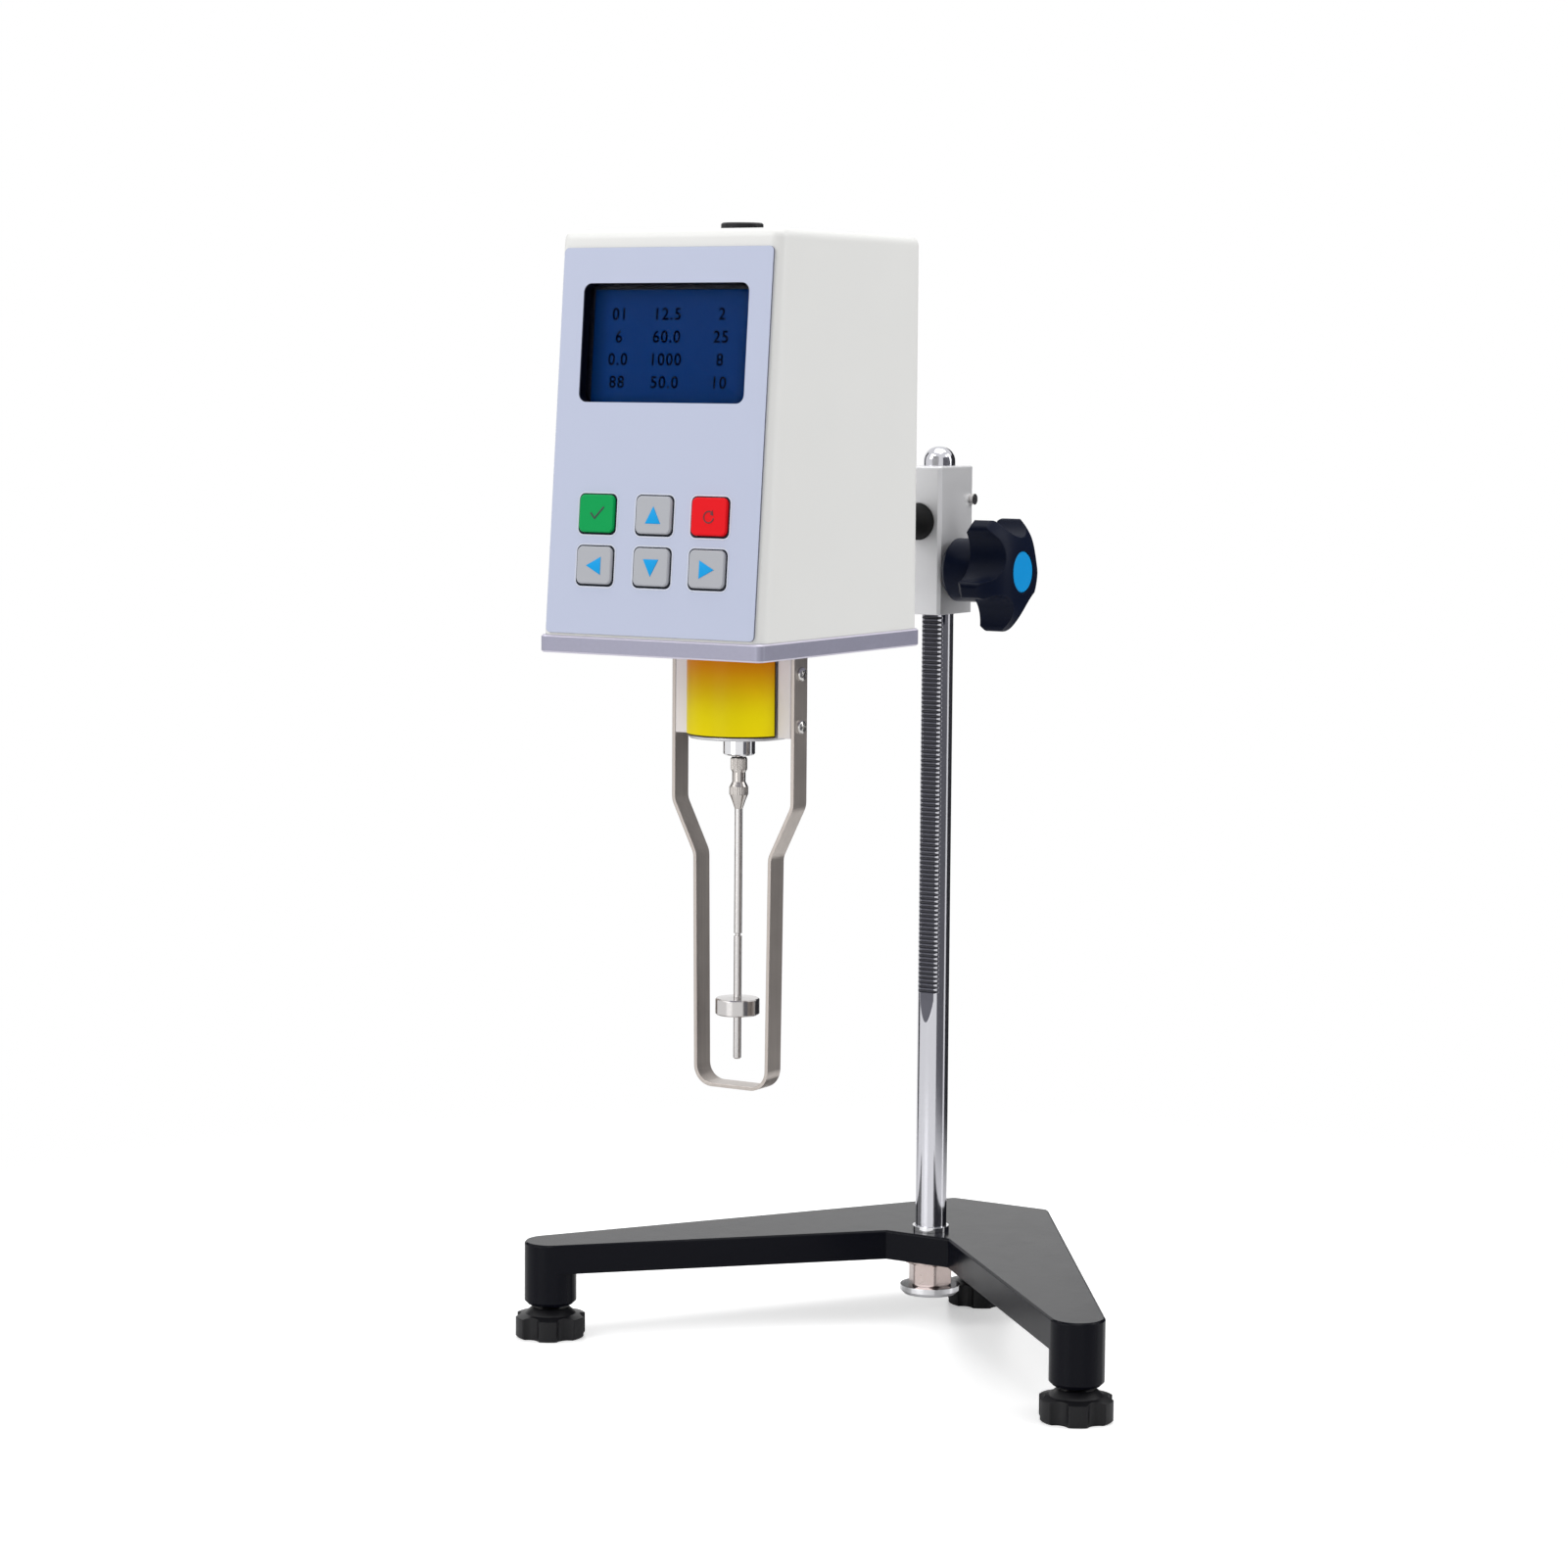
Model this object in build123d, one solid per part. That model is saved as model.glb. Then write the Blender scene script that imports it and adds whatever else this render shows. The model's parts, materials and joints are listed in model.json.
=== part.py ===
from build123d import *
from math import cos, floor, pi, radians, sin, sqrt, tan
import os

# A bench-top rotational viscometer: a measuring head on a rack column over a V-shaped levelling base.
# Millimetres, +Z up, +X to the right seen from the keypad side, -Y towards the operator.
# The origin is on the bench, under the middle of the whole instrument.

# ---------------------------------------------------------------- driving dimensions
# Stand
foot_spread = 134.3            # column axis to a front foot, sideways
foot_forward = 114.6           # column axis to a front foot, forwards
rear_foot_back = 50.0          # column axis to the rear foot
base_underside = 30.4
base_thickness = 13.4
base_edge_bevel = 0.8
nose_half_width = 16.2
nose_forward = 12.9
heel_half_width = 25.3
heel_back = 69.1
heel_corner_radius = 4.0
boss_diameter = 23.7
boss_bottom = 15.0
boss_chamfer = 1.6

# Levelling feet
foot_knob_diameter = 32.4
foot_lobes = 6
foot_scallop_radius = 5.4
foot_valley_depth = 2.9
foot_rim_height = 9.4
foot_neck_diameter = 16.6
foot_headroom = 1.5            # knob top to boss at rest
foot_stud_diameter = 8.0
foot_stud_length = 20.0

# Column and rack
column_diameter = 14.4
column_reach = 8.7             # column above the clamp block at rest
column_top_round = 6.6
spigot_diameter = 12.0
nut_across_flats = 18.0
nut_height = 10.8
washer_diameter = 24.0
washer_thickness = 1.1
end_cap_diameter = 27.7
end_cap_thickness = 4.0
seat_ring_diameter = 16.8
seat_ring_height = 2.4
rack_module = 0.65
rack_flat = 6.2                # column axis to the tooth tips
rack_bottom = 152.0
rack_reach = 20.0              # rack above the pinion at rest
rack_runout = 11.0
tooth_depth_factor = 2.1       # whole depth in modules

# Clamp block, pinion and height knob
block_width = 23.0
block_depth = 31.0
block_height = 66.5
block_rise = 6.7               # clamp block's foot above the bottom plate's underside
block_chamfer = 1.4
clamp_slit = 1.0
pinion_teeth = 12
pinion_length = 8.0
pinion_backlash = 0.16
pinion_addendum = 0.9          # in modules
pinion_root_gap = 0.2
pinion_rolls = 4               # steps of the rack each way in cutting the pinion
pinion_roll_angle = 30.0
pinion_shaft_diameter = 5.6
pinion_height = 20.2           # above the foot of the block
bush_wall = 1.9
bush_gap = 0.3
tension_screw_height = 51.4    # above the foot of the block
tension_screw_diameter = 3.0
tension_head_diameter = 5.0
tension_head_height = 2.0
knob_gap = 2.0                 # block face to the knob's hub
knob_hub_diameter = 28.5
knob_hub_length = 15.5
knob_diameter = 54.0
knob_lobes = 5
knob_valley_radius = 15.4
knob_scallop_radius = 13.2
knob_lobe_round = 2.2
knob_rim_width = 11.0
knob_dome = 8.5
knob_cap_diameter = 18.6
knob_cap_depth = 2.4
knob_socket_depth = 27.0

# Mounting rod between block and head
rod_diameter = 16.4
rod_height = 41.8              # above the foot of the block
rod_flange_diameter = 34.0
rod_flange_thickness = 5.0
flange_screw_circle = 25.0
flange_screw_diameter = 3.0
flange_screw_head = 5.8
flange_screw_head_height = 2.2
bracket_half_width = 17.0
bracket_plate = 4.0
bracket_foot = 16.0

# Measuring head
head_reach = 241.0             # column axis to the front edge of the bottom plate
head_height = 323.1            # bottom plate above the bench at rest
plate_width = 107.1
plate_depth = 129.4
plate_thickness = 7.3
plate_corner_radius = 3.0
plate_edge_bevel = 0.7
housing_inset = 0.6
face_inset = 0.7
housing_height = 164.6
housing_wall = 2.6
housing_corner_radius = 5.0
housing_top_radius = 4.0
face_lean = 5.0                # degrees
post_diameter = 8.0
post_height = 8.0
corner_screw_diameter = 3.0
corner_screw_head = 5.6
corner_screw_sink = 2.4
spindle_setback = 70.2         # front edge of the bottom plate to the spindle

# Front panel, display and keys, measured up the leaning face from the bottom plate
panel_width = 99.9
panel_bottom = 1.0
panel_height = 156.8
panel_thickness = 0.8
panel_corner_radius = 2.0
window_width = 79.0
window_height = 48.2
window_drop = 38.5             # top of the panel to the window's middle
window_corner_radius = 3.6
window_depth = 4.0
bezel_wall = 1.2
glass_thickness = 1.1
lcd_thickness = 6.0
lcd_margin = 3.0
key_width = 16.9
key_height = 15.3
key_radius = 2.5
key_bevel = 0.5
key_proud = 1.3
key_gap = 0.45
key_columns = (-27.2, 0.3, 26.8)
key_rows = (50.0, 29.0)
key_travel = 0.6
key_flange = 1.0
key_flange_thickness = 1.2
key_flange_play = 0.3          # housing wall to the key's flange
keypad_margin = 4.5            # board beyond the keys
switch_height = 2.6
switch_width = 6.0
switch_button_width = 3.4
switch_button_height = 0.8
board_thickness = 1.6

# Level, on top of the housing above the spindle
level_diameter = 17.6
level_proud = 4.2
level_seat_depth = 5.0
level_vial_diameter = 12.6

# Pivot hub, guard and spindle
hub_diameter = 43.0
hub_height = 37.5
hub_wall = 4.0
hub_floor = 6.0
band_thickness = 0.5
band_height = 36.2
band_sweep = 150.0             # degrees round the front of the hub
hub_collar_diameter = 13.6
hub_collar_drop = 7.4
hub_collar_wall = 1.6
bearing_height = 2.5
bracket_gap = 0.3
bracket_thickness = 6.7
bracket_depth = 10.8
bracket_height = 36.4
guard_screw_spacing = 22.0
guard_screw_diameter = 3.0
guard_screw_head = 5.8
guard_screw_head_height = 1.9
guard_thickness = 1.5
guard_strip_width = 10.4
guard_shoulder_height = 258.0
guard_waist_height = 236.0
guard_waist_half = 19.2
guard_foot_half = 18.2
guard_foot_height = 137.0
guard_bend_radius = 8.0
shaft_diameter = 3.0
coupling_diameter = 6.8
coupling_top_gap = 0.8
coupling_length = 22.0
spindle_rod_diameter = 3.4
spindle_disc_diameter = 18.7
spindle_disc_thickness = 7.0
spindle_disc_height = 168.1
spindle_tail = 19.0
immersion_groove_height = 202.1

# Drive and electronics inside the head
pillar_height = 62.0
pillar_diameter = 7.0
pillar_half_x = 33.0
pillar_half_y = 26.0
deck_width = 82.0
deck_depth = 66.0
deck_thickness = 4.0
motor_diameter = 42.0
motor_length = 40.0
motor_shaft_diameter = 5.0
drive_disc_diameter = 34.0
sensor_disc_diameter = 30.0
disc_thickness = 1.0
sensor_level = 20.0            # sensor disc above the bottom plate
drive_level = 44.0             # drive disc above the bottom plate
spring_coils = 3
spring_wire = 0.5
spring_width = 1.2
spring_inner_radius = 4.0
spring_step = 1.6              # from one coil to the next
spring_post_diameter = 2.0
spring_drop = 6.5              # spring below the drive disc
fork_width = 8.0
fork_depth = 8.0
fork_overlap = 3.0             # how far a fork reaches over its disc
fork_height = 6.0
fork_throat = 3.8
main_board_width = 84.0
main_board_height = 96.0
board_components = (           # middle across, middle up, width, height, thickness
    (-20.0, 62.0, 22.0, 22.0, 3.0), (18.0, 70.0, 14.0, 18.0, 3.0),
    (22.0, 38.0, 10.0, 10.0, 4.5), (-24.0, 34.0, 8.0, 30.0, 4.5))
board_foot_inset = 8.0
board_foot_width = 8.0
board_foot_height = 16.0
board_foot_thickness = 1.5
main_board_clearance = 6.0     # above the bottom plate
board_clearance = 5.0          # from the deck to the main board
transformer_width = 34.0
transformer_depth = 14.0
transformer_height = 28.0

# Rear wall fittings, measured from the middle and up from the bottom plate
inlet_x = 32.0
inlet_width = 27.0
inlet_height = 19.6
inlet_depth = 16.0
inlet_flange = 2.2
inlet_flange_thickness = 2.4
inlet_wall = 1.5
inlet_pin_setback = 3.5
inlet_pin_places = ((-7.0, -1.5), (0.0, 2.5), (7.0, -1.5))
rocker_x = -29.0
rear_fitting_height = 18.6
rocker_width = 13.0
rocker_height = 19.0
rocker_throw = 12.0            # degrees each way
rocker_frame = 2.2
rocker_pin_diameter = 3.0
switch_depth = 14.0
vent_count = 6
vent_width = 34.0
vent_height = 2.0
vent_pitch = 5.0
vent_bottom = 112.0

# Clearances
sliding_fit = 0.05             # radial, between parts that slide or turn
seat_gap = 0.1                 # round parts that are only seated
screw_hole_gap = 0.2

# ---------------------------------------------------------------- derived places
column_y = (head_reach - heel_back) / 2
base_top = base_underside + base_thickness
plate_front = column_y - head_reach
spindle_y = plate_front + spindle_setback
plate_back = plate_front + plate_depth
plate_middle = (plate_front + plate_back) / 2
plate_top = head_height + plate_thickness
housing_top = plate_top + housing_height
housing_back = plate_back - housing_inset
housing_half = plate_width / 2 - housing_inset
face_foot = plate_front + face_inset
lean = radians(face_lean)
pinion_pitch_radius = rack_module * pinion_teeth / 2
pinion_y = column_y - (rack_flat - rack_module + pinion_pitch_radius)
block_bottom = head_height + block_rise
column_top = block_bottom + block_height + column_reach
pinion_z = block_bottom + pinion_height
rack_top = pinion_z + rack_reach
rod_z = block_bottom + rod_height
block_front = column_y - block_depth + block_width / 2
block_back = block_front + block_depth
rack_pitch = pi * rack_module
face = Plane(origin=(0, face_foot, plate_top), x_dir=(1, 0, 0), z_dir=(0, -cos(lean), sin(lean)))
hub_bottom = head_height - hub_height
window_middle = panel_bottom + panel_height - window_drop
bracket_inner = hub_diameter / 2 + bracket_gap
bracket_outer = bracket_inner + bracket_thickness
coupling_top = hub_bottom - hub_collar_drop - coupling_top_gap
key_flange_top = -housing_wall - key_flange_play
key_stem_end = key_flange_top - key_flange_thickness
deck_low = plate_top + pillar_height
sensor_z = plate_top + sensor_level
drive_z = plate_top + drive_level
spring_z = drive_z - spring_drop
foot_places = {
    "left": (-foot_spread, column_y - foot_forward),
    "right": (foot_spread, column_y - foot_forward),
    "rear": (0, column_y + rear_foot_back),
}


# ---------------------------------------------------------------- shared forms
def rod_between(diameter, x, y, low, high):
    """An upright round bar between two heights."""
    return Pos(x, y, (low + high) / 2) * Cylinder(diameter / 2, high - low)


def bar_along_x(diameter, start, end, y, z):
    """A round bar lying along X."""
    return Pos((start + end) / 2, y, z) * Rot(0, 90, 0) * Cylinder(diameter / 2, end - start)


def bar_along_y(diameter, start, end, x, z):
    """A round bar lying along Y."""
    return Pos(x, (start + end) / 2, z) * Rot(90, 0, 0) * Cylinder(diameter / 2, end - start)


def block_between(low, high):
    """A box between two opposite corners."""
    size = [b - a for a, b in zip(low, high)]
    middle = [(a + b) / 2 for a, b in zip(low, high)]
    return Pos(*middle) * Box(*size)


def ring(outer, inner, x, y, low, high):
    """An upright ring between two heights."""
    return rod_between(outer, x, y, low, high) - rod_between(inner, x, y, low - 1, high + 1)


def rounded_slab(width, depth, radius, low, high, x, y):
    """An upright slab with rounded corners."""
    outline = RectangleRounded(width, depth, radius)
    return Pos(x, y, low) * extrude(outline, high - low)


def on_face(width, height, radius, x, up, outer, inner):
    """A rounded slab square to the leaning face, from one depth to another (outwards is positive)."""
    outline = RectangleRounded(width, height, radius)
    return face * (Pos(x, up, inner) * extrude(outline, outer - inner))


def star_outline(radius, valley, scallop, lobes, turn, round_off):
    """A star knob's outline: a disc with a round scallop between each two lobes."""
    outline = Circle(radius)
    for k in range(lobes):
        angle = turn + (k + 0.5) * 360 / lobes
        outline -= Rot(0, 0, angle) * (Pos(valley + scallop, 0) * Circle(scallop))
    return fillet(outline.vertices(), round_off)


def cap_screw(shank, length, head, head_height):
    """A screw along +Z, its shank below zero and its plain head above."""
    return rod_between(shank, 0, 0, -length, 0) + rod_between(head, 0, 0, 0, head_height)


# ---------------------------------------------------------------- stand
def base_outline():
    """The V-shaped plan of the base, with a round end over each front foot."""
    heel = [(-heel_half_width, heel_back), (heel_half_width, heel_back)]
    nose = [(nose_half_width, -nose_forward), (-nose_half_width, -nose_forward)]
    plan = make_face(Polyline(*heel, *nose, close=True))
    for side in (-1, 1):
        end = Pos(side * foot_spread, -foot_forward) * Circle(boss_diameter / 2)
        root = Polyline((side * heel_half_width, heel_back), (0, heel_back / 2),
                        (side * nose_half_width, -nose_forward))
        plan += make_hull(end.edges() + root.edges())
    plan = fillet(plan.vertices().group_by(Axis.Y)[-1], heel_corner_radius)
    return Pos(0, column_y) * plan


def make_base():
    """The cast base: a flat V with a boss over each of its three feet."""
    body = Pos(0, 0, base_underside) * extrude(base_outline(), base_thickness)
    body = chamfer(body.faces().sort_by(Axis.Z)[-1].edges(), base_edge_bevel)
    for x, y in foot_places.values():
        boss = rod_between(boss_diameter, x, y, boss_bottom, base_underside + 1)
        body += chamfer(boss.edges().group_by(Axis.Z)[0], boss_chamfer)
        bore_top = boss_bottom + foot_stud_length + foot_headroom
        bore = foot_stud_diameter + 2 * sliding_fit
        body -= rod_between(bore, x, y, boss_bottom - 1, bore_top)
    spigot_hole = spigot_diameter + 2 * seat_gap
    return body - rod_between(spigot_hole, 0, column_y, base_underside - 1, base_top + 1)


def make_foot(x, y):
    """A levelling foot: a lobed plastic knob moulded round its threaded stud."""
    radius = foot_knob_diameter / 2
    knob_top = boss_bottom - foot_headroom
    outline = star_outline(radius, radius - foot_valley_depth, foot_scallop_radius, foot_lobes, 0, 0.8)
    body = extrude(outline, knob_top)
    neck = foot_neck_diameter / 2
    profile = make_face(Polyline((0, 0), (radius - 0.8, 0), (radius, 0.8), (radius, foot_rim_height),
                                 (radius * 0.72, foot_rim_height + 1.2), (neck, knob_top),
                                 (0, knob_top), close=True))
    body &= revolve(Plane.XZ * profile, Axis.Z)
    body = Pos(x, y, 0) * body
    return body + rod_between(foot_stud_diameter, x, y, knob_top - 1, boss_bottom + foot_stud_length)


def rack_cutter():
    """The flat with its sloping run-outs, and every tooth gap cut into it."""
    half = column_diameter
    inside, surface, outside = (column_y - r for r in (rack_flat, column_diameter / 2, column_diameter))
    low, high = rack_bottom - rack_runout, rack_top + rack_runout
    flat = Plane.YZ * make_face(Polyline((inside, rack_bottom), (inside, rack_top), (surface, high),
                                         (outside, high), (outside, low), (surface, low), close=True))
    depth = tooth_depth_factor * rack_module
    tip = rack_pitch / 4 + rack_module * tan(radians(20))
    root = tip - depth * tan(radians(20))
    lowest = -floor((pinion_z - rack_bottom - rack_pitch) / rack_pitch)
    highest = floor((rack_top - rack_pitch - pinion_z) / rack_pitch)
    gaps = []
    for k in range(lowest, highest + 1):
        z = pinion_z + k * rack_pitch
        gaps.append(make_face(Polyline(
            (inside - 1, z - tip), (inside, z - tip), (inside + depth, z - root),
            (inside + depth, z + root), (inside, z + tip), (inside - 1, z + tip), close=True)))
    teeth = [extrude(Plane.YZ * gap, half, both=True) for gap in gaps]
    return extrude(flat, half, both=True), teeth


def make_column():
    """The chromed column with its milled rack and the threaded spigot that holds it to the base."""
    body = rod_between(column_diameter, 0, column_y, base_top, column_top)
    body = fillet(body.edges().group_by(Axis.Z)[-1], column_top_round)
    spigot_end = base_underside - washer_thickness - nut_height - end_cap_thickness / 2
    body += rod_between(spigot_diameter, 0, column_y, spigot_end, base_top + 1)
    flat, teeth = rack_cutter()
    return (body - flat) - teeth


def make_column_fixings():
    """The seat ring on top of the base, and the washer, nut and end cap below it."""
    washer_low = base_underside - washer_thickness
    nut_low = washer_low - nut_height
    hole = spigot_diameter + 2 * seat_gap
    seat = ring(seat_ring_diameter, column_diameter + 2 * seat_gap, 0, column_y,
                base_top, base_top + seat_ring_height)
    washer = ring(washer_diameter, hole, 0, column_y, washer_low, base_underside)
    hexagon = RegularPolygon(nut_across_flats / 2, 6, major_radius=False, rotation=12)
    nut = Pos(0, column_y, nut_low) * extrude(hexagon, nut_height)
    corners = rod_between(nut_across_flats * 1.12, 0, column_y, nut_low, washer_low)
    nut &= chamfer(corners.edges(), 0.9)
    nut -= rod_between(hole, 0, column_y, nut_low - 1, washer_low + 1)
    cap = rod_between(end_cap_diameter, 0, column_y, nut_low - end_cap_thickness, nut_low)
    cap = chamfer(cap.edges().group_by(Axis.Z)[0], end_cap_thickness * 0.4)
    cap -= rod_between(hole, 0, column_y, nut_low - end_cap_thickness / 2 - seat_gap, nut_low + 1)
    return seat, washer, nut, cap


# ---------------------------------------------------------------- height adjustment
def make_clamp_block():
    """The block that slides on the column, split behind it and bored for the pinion and the rod."""
    body = block_between((-block_width / 2, block_front, block_bottom),
                         (block_width / 2, block_back, block_bottom + block_height))
    body = chamfer(body.edges().filter_by(Axis.Z), block_chamfer)
    body = chamfer(body.faces().sort_by(Axis.Z)[-1].edges(), 0.5)
    bore = column_diameter + 2 * sliding_fit
    body -= rod_between(bore, 0, column_y, block_bottom - 1, block_bottom + block_height + 1)
    body -= block_between((-clamp_slit / 2, column_y, block_bottom - 1),
                          (clamp_slit / 2, block_back + 1, block_bottom + block_height + 1))
    bush = pinion_shaft_diameter + 2 * (sliding_fit + bush_wall)
    body -= bar_along_x(bush, -block_width / 2 - 1, block_width / 2 + 1, pinion_y, pinion_z)
    body -= bar_along_y(rod_diameter + 2 * seat_gap, block_front - 1, rod_end(), 0, rod_z)
    screw_y = (column_y + column_diameter / 2 + block_back) / 2
    screw_z = block_bottom + tension_screw_height
    return body - bar_along_x(tension_screw_diameter + 2 * screw_hole_gap, -block_width,
                              block_width, screw_y, screw_z)


def rod_end():
    """How far back the mounting rod reaches into the clamp block."""
    return column_y - column_diameter / 2 - 2.2


def make_tension_screw():
    """The cross screw that closes the block on the column."""
    screw_y = (column_y + column_diameter / 2 + block_back) / 2
    screw_z = block_bottom + tension_screw_height
    screw = cap_screw(tension_screw_diameter, block_width - 1,
                      tension_head_diameter, tension_head_height)
    return Pos(block_width / 2, screw_y, screw_z) * Rot(0, 90, 0) * screw


def make_shaft_bushes():
    """Two plain bushes, one each side of the pinion."""
    outer = pinion_shaft_diameter + 2 * (sliding_fit + bush_wall)
    inner = pinion_shaft_diameter + 2 * sliding_fit
    reach = column_y - pinion_y - outer / 2
    start = sqrt((column_diameter / 2 + seat_gap) ** 2 - reach ** 2) + bush_gap
    bushes = []
    for low, high in ((-block_width / 2, -start), (start, block_width / 2)):
        bush = bar_along_x(outer, low, high, pinion_y, pinion_z)
        bushes.append(bush - bar_along_x(inner, low - 1, high + 1, pinion_y, pinion_z))
    return bushes


def pinion_outline():
    """The pinion's section, generated as a gear cutter does it: the rack rolls round the blank."""
    pitch = pinion_pitch_radius
    tip = pitch + pinion_addendum * rack_module
    depth = rack_module + pinion_root_gap
    slope = tan(radians(20))
    half = rack_pitch / 4 + pinion_backlash / 2
    crest = half - depth * slope
    mouth = half + (tip - pitch + 0.2) * slope
    cutter = make_face(Polyline((pitch - depth, -crest), (tip + 0.2, -mouth), (tip + 0.2, mouth),
                                (pitch - depth, crest), close=True))
    space = cutter
    for k in range(1, pinion_rolls + 1):
        for way in (-1, 1):
            roll = way * k * pinion_roll_angle / pinion_rolls
            space += Rot(0, 0, roll) * (Pos(0, -radians(roll) * pitch) * cutter)
    section = Circle(tip)
    for k in range(pinion_teeth):
        section -= Rot(0, 0, (k + 0.5) * 360 / pinion_teeth) * space
    return section


def make_pinion_shaft():
    """The pinion, cut on its own shaft, which runs through the block into the knob."""
    gear = extrude(pinion_outline(), pinion_length / 2, both=True)
    # one tooth points straight at the column
    gear = Pos(0, pinion_y, pinion_z) * (Rot(0, 90, 0) * (Rot(0, 0, 90) * gear))
    end = block_width / 2 + knob_gap + knob_socket_depth
    return gear + bar_along_x(pinion_shaft_diameter, -block_width / 2, end, pinion_y, pinion_z)


def make_height_knob():
    """The five-lobed height knob with its hub, domed front and cap recess."""
    start = block_width / 2 + knob_gap
    back = knob_hub_length
    rim = back + knob_rim_width
    front = rim + knob_dome
    radius = knob_diameter / 2
    # the first lobe points straight down once the knob is laid along X
    outline = star_outline(radius, knob_valley_radius, knob_scallop_radius, knob_lobes, 0, knob_lobe_round)
    star = Pos(0, 0, back) * extrude(outline, front - back + 1)
    cap_edge = knob_cap_diameter / 2 + 0.6
    dome = ThreePointArc((radius - 0.6, rim), ((radius + cap_edge) / 2 + 1.2, (rim + front) / 2 + 1.3),
                         (cap_edge, front))
    sides = Polyline((cap_edge, front), (0, front), (0, back), (radius - 2.2, back),
                     (radius, back + 2.2), (radius, rim - 1), (radius - 0.6, rim))
    star &= revolve(Plane.XZ * make_face([dome, *sides.edges()]), Axis.Z)
    hub = Pos(0, 0, (back + 1) / 2) * Cylinder(knob_hub_diameter / 2, back + 1)
    hub = chamfer(hub.edges().group_by(Axis.Z)[0], 2.2)
    knob = star + hub
    recess = Circle(knob_cap_diameter / 2 + seat_gap)
    knob -= Pos(0, 0, front - knob_cap_depth) * extrude(recess, knob_cap_depth + 1)
    knob -= Pos(0, 0, -1) * extrude(Circle(pinion_shaft_diameter / 2 + 0.02), knob_socket_depth + 1)
    return Pos(start, pinion_y, pinion_z) * (Rot(0, 90, 0) * knob)


def make_knob_cap():
    """The coloured cap pressed into the front of the height knob."""
    front = block_width / 2 + knob_gap + knob_hub_length + knob_rim_width + knob_dome
    cap = Pos(0, 0, knob_cap_depth / 2) * Cylinder(knob_cap_diameter / 2, knob_cap_depth)
    cap = chamfer(cap.edges().group_by(Axis.Z)[-1], 0.6)
    return Pos(front - knob_cap_depth, pinion_y, pinion_z) * (Rot(0, 90, 0) * cap)


# ---------------------------------------------------------------- head frame
def make_mounting_rod():
    """The rod that carries the head, turned in one piece with its flange."""
    flange_front = housing_back
    body = bar_along_y(rod_flange_diameter, flange_front, flange_front + rod_flange_thickness, 0, rod_z)
    body = chamfer(body.edges().group_by(Axis.Y)[-1], 0.8)
    body += bar_along_y(rod_diameter, flange_front + 1, rod_end(), 0, rod_z)
    for x, z in flange_screw_places():
        body -= bar_along_y(flange_screw_diameter + 2 * screw_hole_gap, flange_front - 1,
                            flange_front + rod_flange_thickness + 1, x, z)
    return body


def flange_screw_places():
    """The four screws round the rod's flange."""
    r = flange_screw_circle / 2
    return [(r * cos(radians(a)), rod_z + r * sin(radians(a))) for a in (45, 135, 225, 315)]


def make_flange_screws():
    """Four screws that hold the flange to the housing and its backing plate."""
    length = rod_flange_thickness + housing_wall + bracket_plate
    screw = cap_screw(flange_screw_diameter, length, flange_screw_head, flange_screw_head_height)
    y = housing_back + rod_flange_thickness
    return [Pos(x, y, z) * (Rot(-90, 0, 0) * screw) for x, z in flange_screw_places()]


def make_rear_bracket():
    """The angle bracket inside the housing that ties the rod's flange to the bottom plate."""
    inside = housing_back - housing_wall
    half = bracket_half_width
    body = block_between((-half, inside - bracket_plate, plate_top),
                         (half, inside, rod_z + rod_flange_diameter / 2))
    body += block_between((-half, inside - bracket_foot, plate_top),
                          (half, inside, plate_top + bracket_plate))
    for side in (-1, 1):
        gusset = make_face(Polyline((inside - bracket_plate, plate_top + bracket_plate),
                                    (inside - bracket_foot, plate_top + bracket_plate),
                                    (inside - bracket_plate, plate_top + 2 * bracket_foot), close=True))
        body += Pos(side * (half - 1), 0, 0) * extrude(Plane.YZ * gusset, 1, both=True)
    for x, z in flange_screw_places():
        body -= bar_along_y(flange_screw_diameter, inside - bracket_plate - 1, inside + 1, x, z)
    return body


def housing_screw_places():
    """Screws up through the bottom plate into the housing's corner posts."""
    inset = housing_wall + post_diameter / 2 - 1
    return [(sx * (housing_half - inset), y) for sx in (-1, 1)
            for y in (face_foot + inset + 2, housing_back - inset)]


def make_bottom_plate():
    """The machined plate that everything in the head is screwed to."""
    body = rounded_slab(plate_width, plate_depth, plate_corner_radius, head_height, plate_top,
                        0, plate_middle)
    body = chamfer(body.faces().sort_by(Axis.Z)[-1].edges(), plate_edge_bevel)
    body = chamfer(body.faces().sort_by(Axis.Z)[0].edges(), plate_edge_bevel)
    body -= rod_between(hub_diameter - 2 * hub_wall, 0, spindle_y, head_height - 1, plate_top + 1)
    for x, y in housing_screw_places():
        body -= rod_between(corner_screw_diameter + 2 * screw_hole_gap, x, y, head_height - 1, plate_top + 1)
        body -= rod_between(corner_screw_head + 4 * screw_hole_gap, x, y, head_height - 1,
                            head_height + corner_screw_sink)
    return body


def make_housing_screws():
    """Four sunk screws under the corners of the bottom plate."""
    length = plate_thickness - corner_screw_sink + post_height - 3
    screw = cap_screw(corner_screw_diameter, length, corner_screw_head, corner_screw_sink - 0.4)
    return [Pos(x, y, head_height + corner_screw_sink) * (Rot(180, 0, 0) * screw)
            for x, y in housing_screw_places()]


def housing_form(inset, low):
    """The housing's outer or inner form: a prism with a leaning front."""
    top = housing_top - inset
    slope = tan(lean)
    front_low = face_foot + inset / cos(lean) + slope * (low - plate_top)
    front_top = face_foot + inset / cos(lean) + slope * (top - plate_top)
    back = housing_back - inset
    side = make_face(Polyline((front_low, low), (front_top, top), (back, top), (back, low), close=True))
    return extrude(Plane.YZ * side, housing_half - inset, both=True)


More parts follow.
